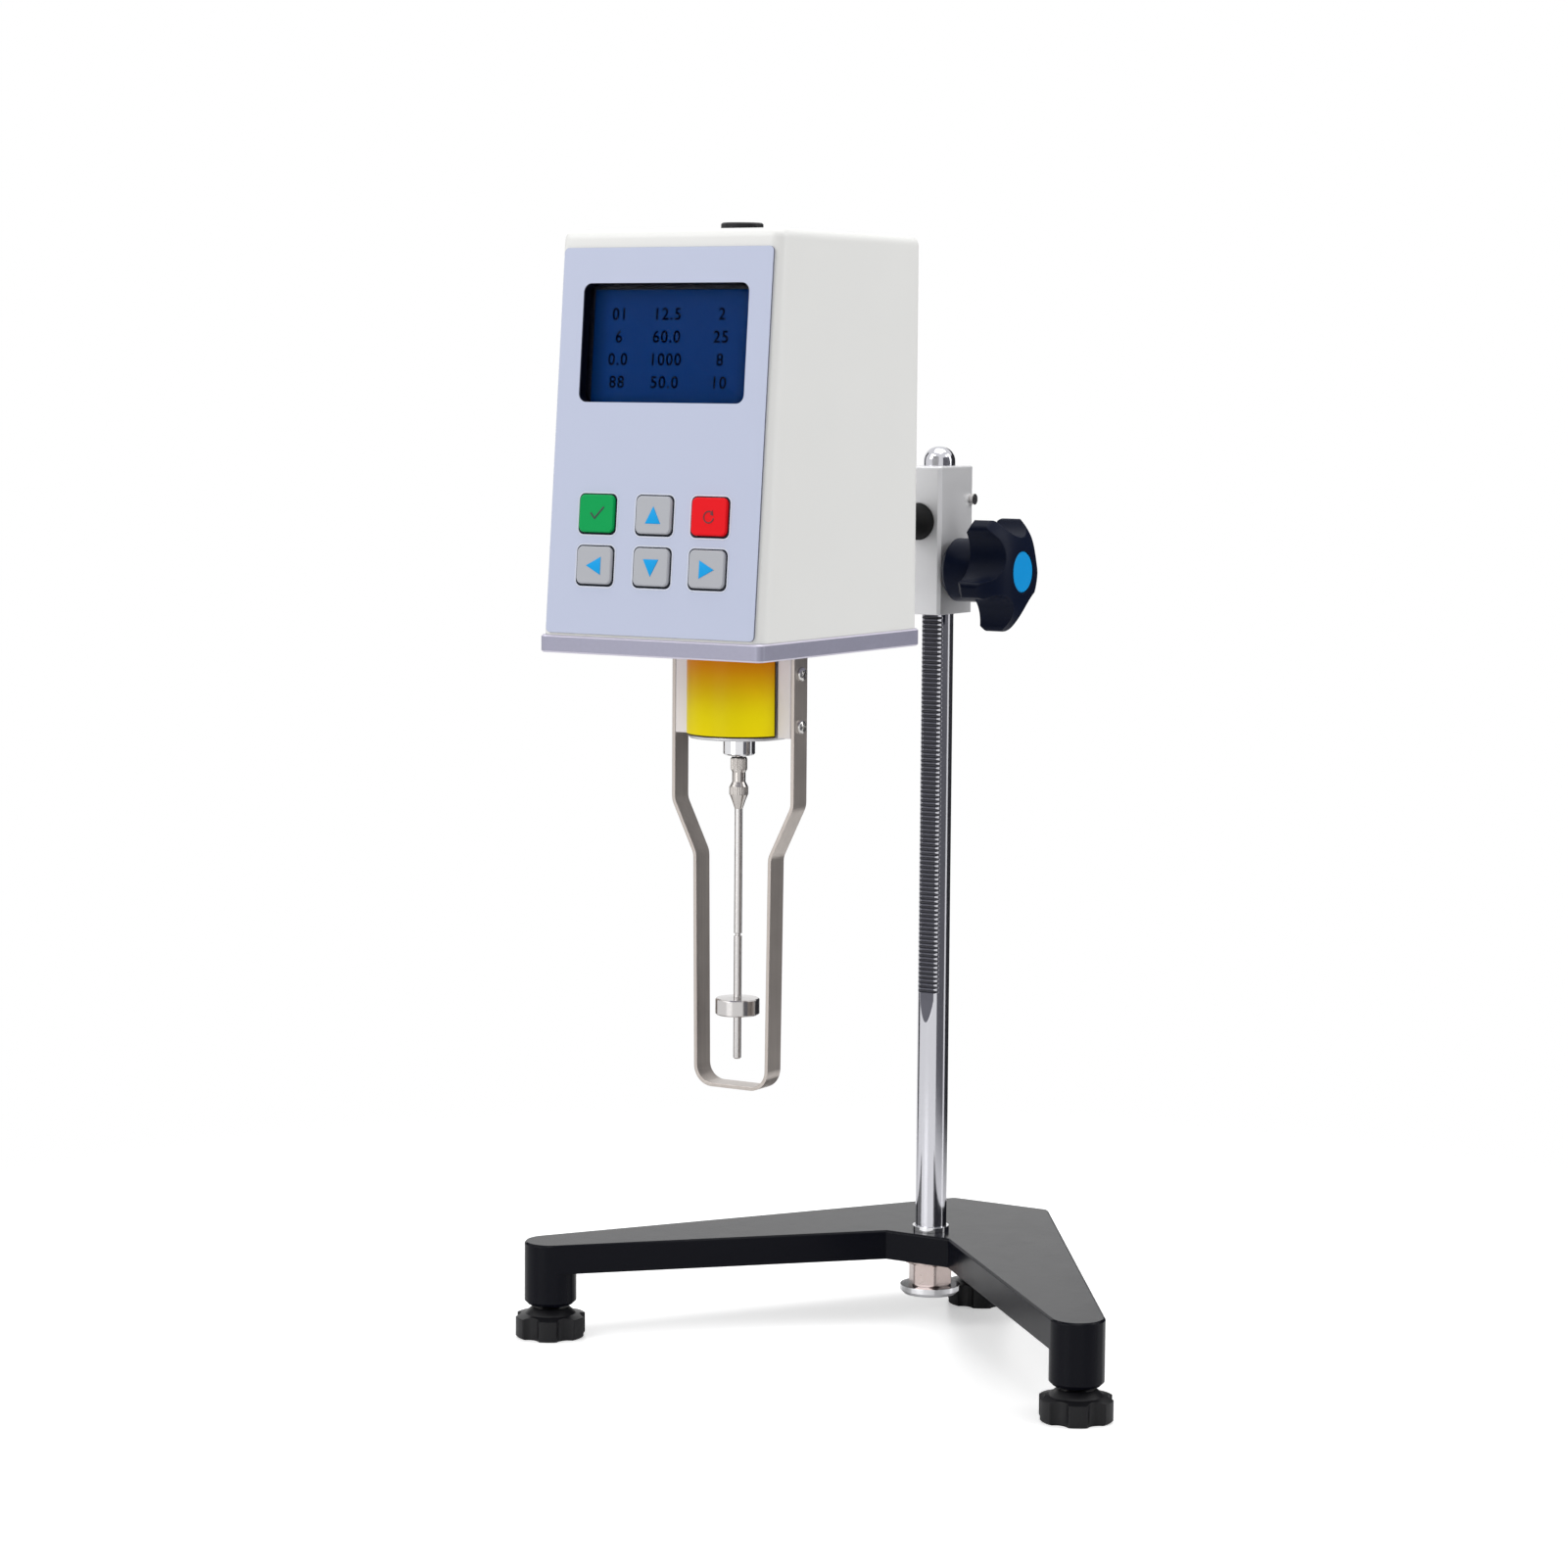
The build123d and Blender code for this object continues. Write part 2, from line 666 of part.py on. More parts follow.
def make_housing():
    """The moulded housing: an open-bottomed shell with corner posts and all its cut-outs."""
    body = housing_form(0, plate_top)
    uprights = [e for e in body.edges() if abs((e @ 1 - e @ 0).Z) > housing_height / 2]
    body = fillet(uprights, housing_corner_radius)
    body = fillet(body.faces().sort_by(Axis.Z)[-1].edges(), housing_top_radius)
    body -= housing_form(housing_wall, plate_top - 1)
    for x, y in housing_screw_places():
        body += rod_between(post_diameter, x, y, plate_top, plate_top + post_height)
        body -= rod_between(corner_screw_diameter, x, y, plate_top - 1, plate_top + post_height - 1.5)
    through = housing_wall + 3
    grow = 2 * (bezel_wall + seat_gap)
    body -= on_face(window_width + grow, window_height + grow, window_corner_radius + bezel_wall,
                    0, window_middle, 3, -through)
    for x in key_columns:
        for up in key_rows:
            body -= on_face(key_width + 2 * key_gap, key_height + 2 * key_gap, key_radius, x, up, 3, -through)
    body -= rod_between(level_diameter - 2 + 2 * seat_gap, 0, spindle_y,
                        housing_top - through, housing_top + 1)
    deep = (housing_back - through, housing_back + 1)
    z = plate_top + rear_fitting_height
    body -= block_between((inlet_x - inlet_width / 2 - seat_gap, deep[0], z - inlet_height / 2 - seat_gap),
                          (inlet_x + inlet_width / 2 + seat_gap, deep[1], z + inlet_height / 2 + seat_gap))
    body -= block_between((rocker_x - rocker_width / 2 - 1.2, deep[0], z - rocker_height / 2 - 1.2),
                          (rocker_x + rocker_width / 2 + 1.2, deep[1], z + rocker_height / 2 + 1.2))
    for x, z in flange_screw_places():
        body -= bar_along_y(flange_screw_diameter + 2 * screw_hole_gap, *deep, x, z)
    for k in range(vent_count):
        z = plate_top + vent_bottom + k * vent_pitch
        body -= block_between((-vent_width / 2, deep[0], z), (vent_width / 2, deep[1], z + vent_height))
    return body


# ---------------------------------------------------------------- front panel
def make_front_panel():
    """The thin panel on the leaning face, open at the window and round each key."""
    middle = panel_bottom + panel_height / 2
    body = on_face(panel_width, panel_height, panel_corner_radius, 0, middle, panel_thickness, 0)
    body -= on_face(window_width, window_height, window_corner_radius, 0, window_middle, 2, -1)
    for x in key_columns:
        for up in key_rows:
            body -= on_face(key_width + 2 * key_gap, key_height + 2 * key_gap, key_radius, x, up, 2, -1)
    return body


def make_display_bezel():
    """The dark sleeve that lines the sunken window."""
    outer = on_face(window_width + 2 * bezel_wall, window_height + 2 * bezel_wall,
                    window_corner_radius + bezel_wall, 0, window_middle, 0, -window_depth)
    return outer - on_face(window_width, window_height, window_corner_radius, 0, window_middle, 1,
                           -window_depth - 1)


def make_display_glass():
    """The clear plate at the bottom of the window."""
    return on_face(window_width + 2 * bezel_wall, window_height + 2 * bezel_wall, window_corner_radius, 0,
                   window_middle, -window_depth, -window_depth - glass_thickness)


def make_lcd_module():
    """The display module and its metal frame behind the glass."""
    back = -window_depth - glass_thickness
    body = on_face(window_width + 2 * lcd_margin, window_height + 2 * lcd_margin, 1.0, 0, window_middle,
                   back, back - lcd_thickness)
    board = on_face(window_width + 4 * lcd_margin, window_height + 4 * lcd_margin, 1.0, 0, window_middle,
                    back - lcd_thickness, back - lcd_thickness - board_thickness)
    return body + board


def make_key(x, up):
    """A key cap: a rounded block with a soft top edge and a flange that keeps it in the housing."""
    cap = on_face(key_width, key_height, key_radius, x, up, panel_thickness + key_proud, key_flange_top)
    cap = chamfer(cap.edges().group_by(Axis(face.origin, face.z_dir))[-1], key_bevel)
    grow = 2 * (key_flange + key_gap)
    flange = Box(key_width + grow, key_height + grow, key_flange_thickness)
    return cap + face * (Pos(x, up, key_flange_top - key_flange_thickness / 2) * flange)


def make_keypad_board():
    """The board behind the keys."""
    back = key_stem_end - key_travel - switch_height
    width = key_columns[-1] - key_columns[0] + key_width + 2 * keypad_margin
    height = key_rows[0] - key_rows[-1] + key_height + 2 * keypad_margin
    middle = (sum(key_columns) / len(key_columns), sum(key_rows) / len(key_rows))
    return face * (Pos(*middle, back - board_thickness / 2) * Box(width, height, board_thickness))


def make_key_switches():
    """One small push switch behind each key."""
    back = key_stem_end - key_travel - switch_height
    switches = []
    for x in key_columns:
        for up in key_rows:
            can_height = switch_height - switch_button_height
            can = Box(switch_width, switch_width, can_height)
            button = Box(switch_button_width, switch_button_width, switch_height)
            switches.append(face * (Pos(x, up, back + can_height / 2) * can
                                    + Pos(x, up, back + switch_height / 2) * button))
    return switches


def make_level():
    """The black ring and the glass vial of the bubble level."""
    floor_z = housing_top - level_seat_depth
    body = rod_between(level_diameter - 2, 0, spindle_y, floor_z, housing_top)
    body += rod_between(level_diameter, 0, spindle_y, housing_top, housing_top + level_proud)
    body = chamfer(body.edges().group_by(Axis.Z)[-1], 0.6)
    body -= rod_between(level_vial_diameter + 2 * seat_gap, 0, spindle_y, floor_z + 1,
                        housing_top + level_proud + 1)
    vial_top = housing_top + level_proud - 0.3
    vial = rod_between(level_vial_diameter, 0, spindle_y, floor_z + 1, vial_top)
    return body, vial


# ---------------------------------------------------------------- hub, guard and spindle
def make_pivot_hub():
    """The round hub under the bottom plate, hollow above and bored for its collar."""
    body = rod_between(hub_diameter, 0, spindle_y, hub_bottom, head_height)
    body = chamfer(body.edges().group_by(Axis.Z)[0], 0.8)
    body -= rod_between(hub_diameter - 2 * hub_wall, 0, spindle_y, hub_bottom + hub_floor, head_height + 1)
    return body - rod_between(hub_collar_diameter, 0, spindle_y, hub_bottom - 1, hub_bottom + hub_floor + 1)


def make_hub_band():
    """The thin coloured band round the front of the hub, between the guard brackets."""
    inner = hub_diameter / 2 + sliding_fit
    outline = Circle(inner + band_thickness) - Circle(inner)
    reach = 2 * hub_diameter
    half = radians(band_sweep / 2)
    wedge = make_face(Polyline((0, 0), (-reach * sin(half), -reach * cos(half)),
                               (0, -reach), (reach * sin(half), -reach * cos(half)), close=True))
    return Pos(0, spindle_y, head_height - band_height) * extrude(outline & wedge, band_height - seat_gap)


def make_hub_collar():
    """The bright collar at the bottom of the hub, round the spindle shaft."""
    top = hub_bottom + hub_floor
    body = rod_between(hub_collar_diameter, 0, spindle_y, hub_bottom - hub_collar_drop, top)
    body = chamfer(body.edges().group_by(Axis.Z)[0], 0.6)
    body -= rod_between(hub_collar_diameter - 2 * hub_collar_wall, 0, spindle_y,
                        hub_bottom - hub_collar_drop - 1, top - bearing_height)
    return body - rod_between(2 * shaft_diameter, 0, spindle_y, hub_bottom, top + 1)


def make_shaft_bearing():
    """The jewelled bearing ring that guides the spindle shaft."""
    top = hub_bottom + hub_floor
    return ring(2 * shaft_diameter, shaft_diameter + 2 * sliding_fit, 0, spindle_y, top - bearing_height, top)


def make_guard_bracket(side):
    """A guard bracket beside the hub."""
    middle = side * (bracket_inner + bracket_outer) / 2
    body = Pos(middle, spindle_y, head_height - bracket_height / 2) * Box(
        bracket_thickness, bracket_depth, bracket_height)
    body = chamfer(body.edges().filter_by(Axis.Z), 0.5)
    for z in guard_screw_heights():
        body -= bar_along_x(guard_screw_diameter + 0.02, -bracket_outer - 1, bracket_outer + 1, spindle_y, z)
    return body


def guard_screw_heights():
    """The two heights at which screws hold the guard to each bracket."""
    middle = head_height - bracket_height / 2 - 2.5
    return (middle - guard_screw_spacing / 2, middle + guard_screw_spacing / 2)


def make_bracket_screws():
    """Two screws through each leg of the guard."""
    screw = cap_screw(guard_screw_diameter, bracket_thickness + guard_thickness - 0.6,
                      guard_screw_head, guard_screw_head_height)
    outside = bracket_outer + guard_thickness
    return [Pos(side * outside, spindle_y, z) * (Rot(0, 90 * side, 0) * screw)
            for side in (-1, 1) for z in guard_screw_heights()]


def make_guard():
    """The bent strip that guards the spindle, open at the front and back."""
    upper = bracket_outer + guard_thickness / 2
    waist = guard_waist_half - guard_thickness / 2
    foot = guard_foot_half - guard_thickness / 2
    top = head_height - 3
    right = [(upper, top), (upper, guard_shoulder_height), (waist, guard_waist_height),
             (foot, guard_foot_height + guard_thickness / 2)]
    left = [(-x, z) for x, z in reversed(right)]
    path = Plane.XZ * FilletPolyline(*right, *left, radius=guard_bend_radius)
    path = Pos(0, spindle_y, 0) * path
    section = Rectangle(guard_strip_width, guard_thickness)
    strip = sweep(Plane(origin=path @ 0, x_dir=(0, 1, 0), z_dir=path % 0) * section, path=path)
    for z in guard_screw_heights():
        strip -= bar_along_x(guard_screw_diameter + 2 * screw_hole_gap, -2 * bracket_outer,
                             2 * bracket_outer, spindle_y, z)
    return strip


def turned(points):
    """A solid turned about the spindle axis from its half profile of (radius, height) points."""
    return Pos(0, spindle_y, 0) * revolve(Plane.XZ * make_face(Polyline(*points, close=True)), Axis.Z)


def make_spindle_coupling():
    """The threaded coupling nut between the shaft and the spindle, necked and tapered."""
    r = coupling_diameter / 2
    top = coupling_top
    end = top - coupling_length
    return turned([(0, top), (r * 0.9, top), (r, top - 0.6), (r, top - 5.5), (r * 0.84, top - 6.5),
                   (r * 0.84, top - 10.5), (r * 1.14, top - 12.5), (r * 1.14, top - 16),
                   (r * 0.85, top - 18.5), (spindle_rod_diameter / 2, end), (0, end)])


def make_spindle():
    """The measuring spindle: a rod with an immersion groove, a thick disc and a tail."""
    r = spindle_rod_diameter / 2
    disc = spindle_disc_diameter / 2
    low = spindle_disc_height
    high = low + spindle_disc_thickness
    top = coupling_top - coupling_length
    groove = immersion_groove_height
    return turned([(0, top), (r, top), (r, groove + 0.6), (r * 0.7, groove + 0.4), (r * 0.7, groove - 0.4),
                   (r, groove - 0.6), (r, high + 0.5), (disc - 0.5, high), (disc, high - 0.5),
                   (disc, low + 0.5), (disc - 0.5, low), (r, low), (r, low - spindle_tail + 0.5),
                   (r - 0.5, low - spindle_tail), (0, low - spindle_tail)])


# ---------------------------------------------------------------- drive and electronics
def make_spindle_shaft():
    """The pivoted shaft from the coupling up to the torsion spring."""
    collet = 2 * spring_inner_radius - spring_wire - 2 * sliding_fit
    body = rod_between(shaft_diameter, 0, spindle_y, coupling_top, drive_z - 0.4)
    return body + rod_between(collet, 0, spindle_y, spring_z - 2, spring_z + 2)


def make_sensor_disc():
    """The slotted disc on the spindle shaft."""
    body = rod_between(sensor_disc_diameter, 0, spindle_y, sensor_z, sensor_z + disc_thickness)
    body += rod_between(8, 0, spindle_y, sensor_z - 3, sensor_z + disc_thickness + 3)
    slot = Pos(sensor_disc_diameter / 2, 0) * Rectangle(5, 1.6)
    slots = [Rot(0, 0, k * 90) * slot for k in range(4)]
    for one in slots:
        body -= Pos(0, spindle_y, sensor_z - 1) * extrude(one, disc_thickness + 2)
    return body - rod_between(shaft_diameter, 0, spindle_y, sensor_z - 4, sensor_z + 6)


def make_drive_disc():
    """The motor's driving disc with the collar that grips the motor shaft."""
    body = rod_between(drive_disc_diameter, 0, spindle_y, drive_z, drive_z + disc_thickness + 0.5)
    body += rod_between(12, 0, spindle_y, drive_z, drive_z + 9)
    post = spring_outer_radius() + (spring_wire + spring_post_diameter) / 2 + seat_gap
    body += rod_between(spring_post_diameter, post, spindle_y, spring_z - 1.4, drive_z + 1)
    slot = Pos(drive_disc_diameter / 2, 0) * Rectangle(5, 1.6)
    for k in range(4):
        body -= Pos(0, spindle_y, drive_z - 1) * extrude(Rot(0, 0, 45 + k * 90) * slot, disc_thickness + 3)
    return body - rod_between(motor_shaft_diameter, 0, spindle_y, drive_z + 2, drive_z + 10)


def spring_outer_radius():
    """The radius of the torsion spring's outermost coil."""
    return spring_inner_radius + spring_coils * spring_step


def make_torsion_spring():
    """The flat spiral spring that measures the drag on the spindle."""
    steps = 6
    points = []
    for k in range(spring_coils * steps + 1):
        radius = spring_inner_radius + spring_step * k / steps
        points.append((radius * cos(2 * pi * k / steps), radius * sin(2 * pi * k / steps)))
    path = Pos(0, spindle_y, spring_z) * Spline(*points)
    section = Plane(origin=path @ 0, x_dir=(0, 0, 1), z_dir=path % 0) * Rectangle(spring_width, spring_wire)
    return sweep(section, path=path)


def make_motor():
    """The geared motor that hangs its shaft through the deck."""
    low = deck_low + deck_thickness
    body = rod_between(motor_diameter, 0, spindle_y, low, low + motor_length)
    body = chamfer(body.edges().group_by(Axis.Z)[-1], 1.0)
    body += rod_between(motor_diameter * 0.5, 0, spindle_y, low - deck_thickness, low + 1)
    return body


def make_motor_shaft():
    """The motor's output shaft."""
    return rod_between(motor_shaft_diameter, 0, spindle_y, drive_z + 2, deck_low)


def make_deck():
    """The deck above the pillars that carries the motor."""
    body = rounded_slab(deck_width, deck_depth, 4, deck_low, deck_low + deck_thickness, 0, spindle_y)
    body -= rod_between(motor_diameter * 0.5 + 2 * seat_gap, 0, spindle_y, deck_low - 1,
                        deck_low + deck_thickness + 1)
    return body


def make_pillars():
    """Four hexagon pillars between the bottom plate and the deck."""
    outline = RegularPolygon(pillar_diameter / 2, 6)
    pillar = Pos(0, spindle_y, plate_top) * extrude(outline, pillar_height)
    return [Pos(sx * pillar_half_x, sy * pillar_half_y) * pillar for sx in (-1, 1) for sy in (-1, 1)]


def make_optical_sensors():
    """Two fork sensors, one astride each slotted disc, on posts from the bottom plate and the deck."""
    forks = []
    half = fork_width / 2
    for radius, z, low, high in ((sensor_disc_diameter / 2, sensor_z, plate_top, sensor_z + fork_height),
                                 (drive_disc_diameter / 2, drive_z, drive_z - fork_height, deck_low)):
        front = spindle_y + radius - fork_overlap
        fork = block_between((-half, front, low), (half, front + fork_depth, high))
        throat_low = z + (disc_thickness - fork_throat) / 2 + 0.4
        throat = block_between((-half - 1, front - 1, throat_low),
                               (half + 1, front + fork_depth / 2, throat_low + fork_throat))
        forks.append(fork - throat)
    return forks


def main_board_y():
    """The front face of the main board."""
    return spindle_y + deck_depth / 2 + board_clearance


def make_main_board():
    """The main board, upright behind the drive, with its larger components."""
    y = main_board_y()
    low = plate_top + main_board_clearance
    body = block_between((-main_board_width / 2, y, low),
                         (main_board_width / 2, y + board_thickness, low + main_board_height))
    for x, z, width, height, thickness in board_components:
        body += block_between((x - width / 2, y - thickness, low + z - height / 2),
                              (x + width / 2, y + board_thickness / 2, low + z + height / 2))
    return body


def make_board_feet():
    """Two angle feet that carry the main board on the bottom plate."""
    y = main_board_y() + board_thickness
    feet = []
    half = board_foot_width / 2
    for x in (board_foot_inset - main_board_width / 2, main_board_width / 2 - board_foot_inset):
        corner = (x - half, y, plate_top)
        upright = block_between(corner, (x + half, y + board_foot_thickness, plate_top + board_foot_height))
        feet.append(upright + block_between(corner, (x + half, y + board_foot_width,
                                                     plate_top + board_foot_thickness)))
    return feet


def make_transformer():
    """The mains transformer, standing on the bottom plate in front of the drive."""
    y = spindle_y - deck_depth / 2 - transformer_depth / 2 - 4
    core = Pos(0, y, plate_top + transformer_height / 2) * Box(transformer_width, transformer_depth * 0.7,
                                                               transformer_height)
    coil = Pos(0, y, plate_top + transformer_height / 2) * Box(transformer_width * 0.55, transformer_depth,
                                                               transformer_height * 0.64)
    return core + chamfer(coil.edges().filter_by(Axis.Z), 2.0)


def make_power_inlet():
    """The three-pin mains inlet in the rear wall."""
    z = plate_top + rear_fitting_height
    outside = housing_back
    body = block_between((inlet_x - inlet_width / 2, outside - inlet_depth, z - inlet_height / 2),
                         (inlet_x + inlet_width / 2, outside + 1, z + inlet_height / 2))
    wide = inlet_width + 2 * inlet_flange
    tall = inlet_height + 2 * inlet_flange
    rim = Plane.XZ * RectangleRounded(wide, tall, 2.0)
    body += Pos(inlet_x, outside + inlet_flange_thickness, z) * extrude(rim, inlet_flange_thickness)
    mouth = Plane.XZ * RectangleRounded(inlet_width - 2 * inlet_wall, inlet_height - 2 * inlet_wall, 2.5)
    mouth_depth = inlet_depth + inlet_flange_thickness - inlet_wall
    body -= Pos(inlet_x, outside + inlet_flange_thickness, z) * extrude(mouth, mouth_depth)
    for dx, dz in inlet_pin_places:
        body += block_between((inlet_x + dx - 1, outside - inlet_depth + inlet_wall - 0.5, z + dz - 2),
                              (inlet_x + dx + 1, outside - inlet_pin_setback, z + dz + 2))
    return body


def rocker_pivot():
    """The rocker's axis, just behind the face of its frame."""
    return housing_back - 2.0, plate_top + rear_fitting_height


def make_switch_frame():
    """The frame and body of the mains switch."""
    y, z = rocker_pivot()
    wide = rocker_width / 2 + 1.1
    tall = rocker_height / 2 + 1.1
    body = block_between((rocker_x - wide, housing_back - switch_depth, z - tall),
                         (rocker_x + wide, housing_back + 1, z + tall))
    grow = 2 * (rocker_frame + 1)
    rim = Plane.XZ * RectangleRounded(rocker_width + grow, rocker_height + grow, 1.5)
    body += Pos(rocker_x, housing_back + 1.8, z) * extrude(rim, 1.8)
    half_x, half_z = rocker_width / 2 + 0.3, rocker_height / 2 + 0.6
    body -= block_between((rocker_x - half_x, housing_back - 9.5, z - half_z),
                          (rocker_x + half_x, housing_back + 3, z + half_z))
    pin = bar_along_x(rocker_pin_diameter + 2 * sliding_fit, rocker_x - wide - 1, rocker_x + wide + 1, y, z)
    return body - pin


def make_rocker():
    """The mains rocker with its pivot pin."""
    y, z = rocker_pivot()
    half = rocker_height / 2
    side = make_face(Polyline((y - 1.5, z - 3), (y + 1.2, z - half + 0.6), (y + 4.2, z - half + 0.6),
                              (y + 3.0, z), (y + 4.2, z + half - 0.6), (y + 1.2, z + half - 0.6),
                              (y - 1.5, z + 3), close=True))
    body = Pos(rocker_x, 0, 0) * extrude(Plane.YZ * side, rocker_width / 2, both=True)
    pin = bar_along_x(rocker_pin_diameter, rocker_x - rocker_width / 2 - 1.0,
                      rocker_x + rocker_width / 2 + 1.0, y, z)
    pivot = Location((0, y, z))
    return pivot * (Rot(rocker_throw, 0, 0) * (pivot.inverse() * (body + pin)))


# ---------------------------------------------------------------- the whole instrument
def make_all():
    """Every node of the instrument, by name."""
    seat_ring, washer, nut, end_cap = make_column_fixings()
    level_ring, level_vial = make_level()
    nodes = {
        "base_casting": make_base(),
        "column": make_column(),
        "column_seat_ring": seat_ring,
        "column_washer": washer,
        "column_nut": nut,
        "column_end_cap": end_cap,
        "clamp_block": make_clamp_block(),
        "tension_screw": make_tension_screw(),
        "shaft_bushes": make_shaft_bushes(),
        "pinion_shaft": make_pinion_shaft(),
        "height_knob": make_height_knob(),
        "knob_cap": make_knob_cap(),
        "mounting_rod": make_mounting_rod(),
        "flange_screws": make_flange_screws(),
        "rear_bracket": make_rear_bracket(),
        "bottom_plate": make_bottom_plate(),
        "housing_screws": make_housing_screws(),
        "housing_shell": make_housing(),
        "front_panel": make_front_panel(),
        "display_bezel": make_display_bezel(),
        "display_glass": make_display_glass(),
        "lcd_module": make_lcd_module(),
        "keypad_board": make_keypad_board(),
        "key_switches": make_key_switches(),
        "level_ring": level_ring,
        "level_vial": level_vial,
        "pivot_hub": make_pivot_hub(),
        "hub_band": make_hub_band(),
        "hub_collar": make_hub_collar(),
        "shaft_bearing": make_shaft_bearing(),
        "guard_bracket_left": make_guard_bracket(-1),
        "guard_bracket_right": make_guard_bracket(1),
        "bracket_screws": make_bracket_screws(),
        "guard_frame": make_guard(),
        "spindle_coupling": make_spindle_coupling(),
        "spindle": make_spindle(),
        "spindle_shaft": make_spindle_shaft(),
        "sensor_disc": make_sensor_disc(),
        "drive_disc": make_drive_disc(),
        "torsion_spring": make_torsion_spring(),
        "motor": make_motor(),
        "motor_shaft": make_motor_shaft(),
        "motor_deck": make_deck(),
        "deck_pillars": make_pillars(),
        "optical_sensors": make_optical_sensors(),
        "main_board": make_main_board(),
        "board_feet": make_board_feet(),
        "transformer": make_transformer(),
        "power_inlet": make_power_inlet(),
        "switch_frame": make_switch_frame(),
        "switch_rocker": make_rocker(),
    }
    for name, (x, y) in foot_places.items():
        nodes["foot_" + name] = make_foot(x, y)
    key_names = (("key_confirm", "key_up", "key_reset"), ("key_left", "key_down", "key_right"))
    for row, up in enumerate(key_rows):
        for column, x in enumerate(key_columns):
            nodes[key_names[row][column]] = make_key(x, up)
    return nodes


os.makedirs("parts", exist_ok=True)
for node_name, solids in make_all().items():
    shape = Compound(children=solids) if isinstance(solids, list) else solids
    export_step(shape, "parts/" + node_name + ".step")
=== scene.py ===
"""Looks of a bench-top rotational viscometer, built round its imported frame.

Lengths are in metres in the frame's own axes: +X to the right seen from the keypad side,
-Y towards the operator, +Z up, and the bench at z = 0.
"""

import json
import logging
import math
from collections.abc import Iterable, Mapping, Sequence
from dataclasses import dataclass, field, replace
from enum import Enum
from typing import Any, ClassVar

import bmesh
import bpy
from mathutils import Matrix, Vector

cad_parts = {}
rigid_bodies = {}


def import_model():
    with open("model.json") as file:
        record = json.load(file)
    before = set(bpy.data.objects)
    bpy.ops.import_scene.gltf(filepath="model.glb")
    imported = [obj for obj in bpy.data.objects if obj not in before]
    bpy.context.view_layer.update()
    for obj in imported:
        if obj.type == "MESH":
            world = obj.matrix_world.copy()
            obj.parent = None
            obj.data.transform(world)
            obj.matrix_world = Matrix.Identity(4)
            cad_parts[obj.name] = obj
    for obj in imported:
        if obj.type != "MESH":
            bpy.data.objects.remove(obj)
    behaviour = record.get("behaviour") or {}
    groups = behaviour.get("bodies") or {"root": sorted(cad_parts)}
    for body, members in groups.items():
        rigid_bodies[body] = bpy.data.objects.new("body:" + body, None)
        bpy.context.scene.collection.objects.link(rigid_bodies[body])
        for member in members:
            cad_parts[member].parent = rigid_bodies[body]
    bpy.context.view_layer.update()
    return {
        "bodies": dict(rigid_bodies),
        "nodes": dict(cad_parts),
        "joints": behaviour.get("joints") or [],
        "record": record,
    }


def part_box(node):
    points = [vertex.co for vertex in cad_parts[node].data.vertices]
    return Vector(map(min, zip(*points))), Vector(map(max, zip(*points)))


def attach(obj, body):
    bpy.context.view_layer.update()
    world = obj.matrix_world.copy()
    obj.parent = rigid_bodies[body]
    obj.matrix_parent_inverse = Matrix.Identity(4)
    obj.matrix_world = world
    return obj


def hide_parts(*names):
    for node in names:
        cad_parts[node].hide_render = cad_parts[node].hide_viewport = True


LOG = logging.getLogger("viscometer")
MM = 0.001
Triple = tuple[float, float, float]
Colour = Triple
Span = tuple[float, float]
Point = Span
Socket = bpy.types.NodeSocket


def srgb(*steps: int) -> Colour:
    """Turns a colour written in 0 to 255 steps into the linear values that shaders use.

    Args:
        steps: The red, green and blue steps.

    Returns:
        The linear colour.
    """
    def linear(step: int) -> float:
        """Undoes the display curve for one channel."""
        part = step / 255
        return part / 12.92 if part <= 0.04045 else ((part + 0.055) / 1.055) ** 2.4

    return tuple(linear(step) for step in steps)


# ---- shader building
@dataclass(frozen=True)
class Signal:
    """A number that changes over a surface, held by the socket that carries it."""

    shader: "Shader"
    socket: Socket

    def math(self, operation: str, *operands: "Signal | Socket | float") -> "Signal":
        """Adds one Math node, its operands in order, and hands out its result."""
        node = self.shader.add("ShaderNodeMath", {"operation": operation}, dict(enumerate(operands)))
        return Signal(self.shader, node.outputs[0])

    def __add__(self, other: "Signal | float") -> "Signal":
        """Adds."""
        return self.math("ADD", self, other)

    __radd__ = __add__

    def __sub__(self, other: "Signal | float") -> "Signal":
        """Subtracts."""
        return self.math("SUBTRACT", self, other)

    def __rsub__(self, other: float) -> "Signal":
        """Subtracts this from a number."""
        return self.math("SUBTRACT", other, self)

    def __mul__(self, other: "Signal | float") -> "Signal":
        """Multiplies."""
        return self.math("MULTIPLY", self, other)

    __rmul__ = __mul__

    def __abs__(self) -> "Signal":
        """Drops the sign."""
        return self.math("ABSOLUTE", self)

    def wave(self) -> "Signal":
        """The sine of this value, between 0 and 1."""
        return self.math("SINE", self) * 0.5 + 0.5

    def rise(self, low: float, high: float) -> "Signal":
        """Goes smoothly from 0 at low to 1 at high, which may lie below low for a fall."""
        node = self.shader.add("ShaderNodeMapRange", {"interpolation_type": "SMOOTHSTEP"},
                               {"Value": self, "From Min": low, "From Max": high})
        return Signal(self.shader, node.outputs[0])

    def near(self, middle: float, half: float, soft: float) -> "Signal":
        """Is 1 within half a band's width of its middle, and 0 beyond its soft edge."""
        return abs(self - middle).rise(half + soft, half)


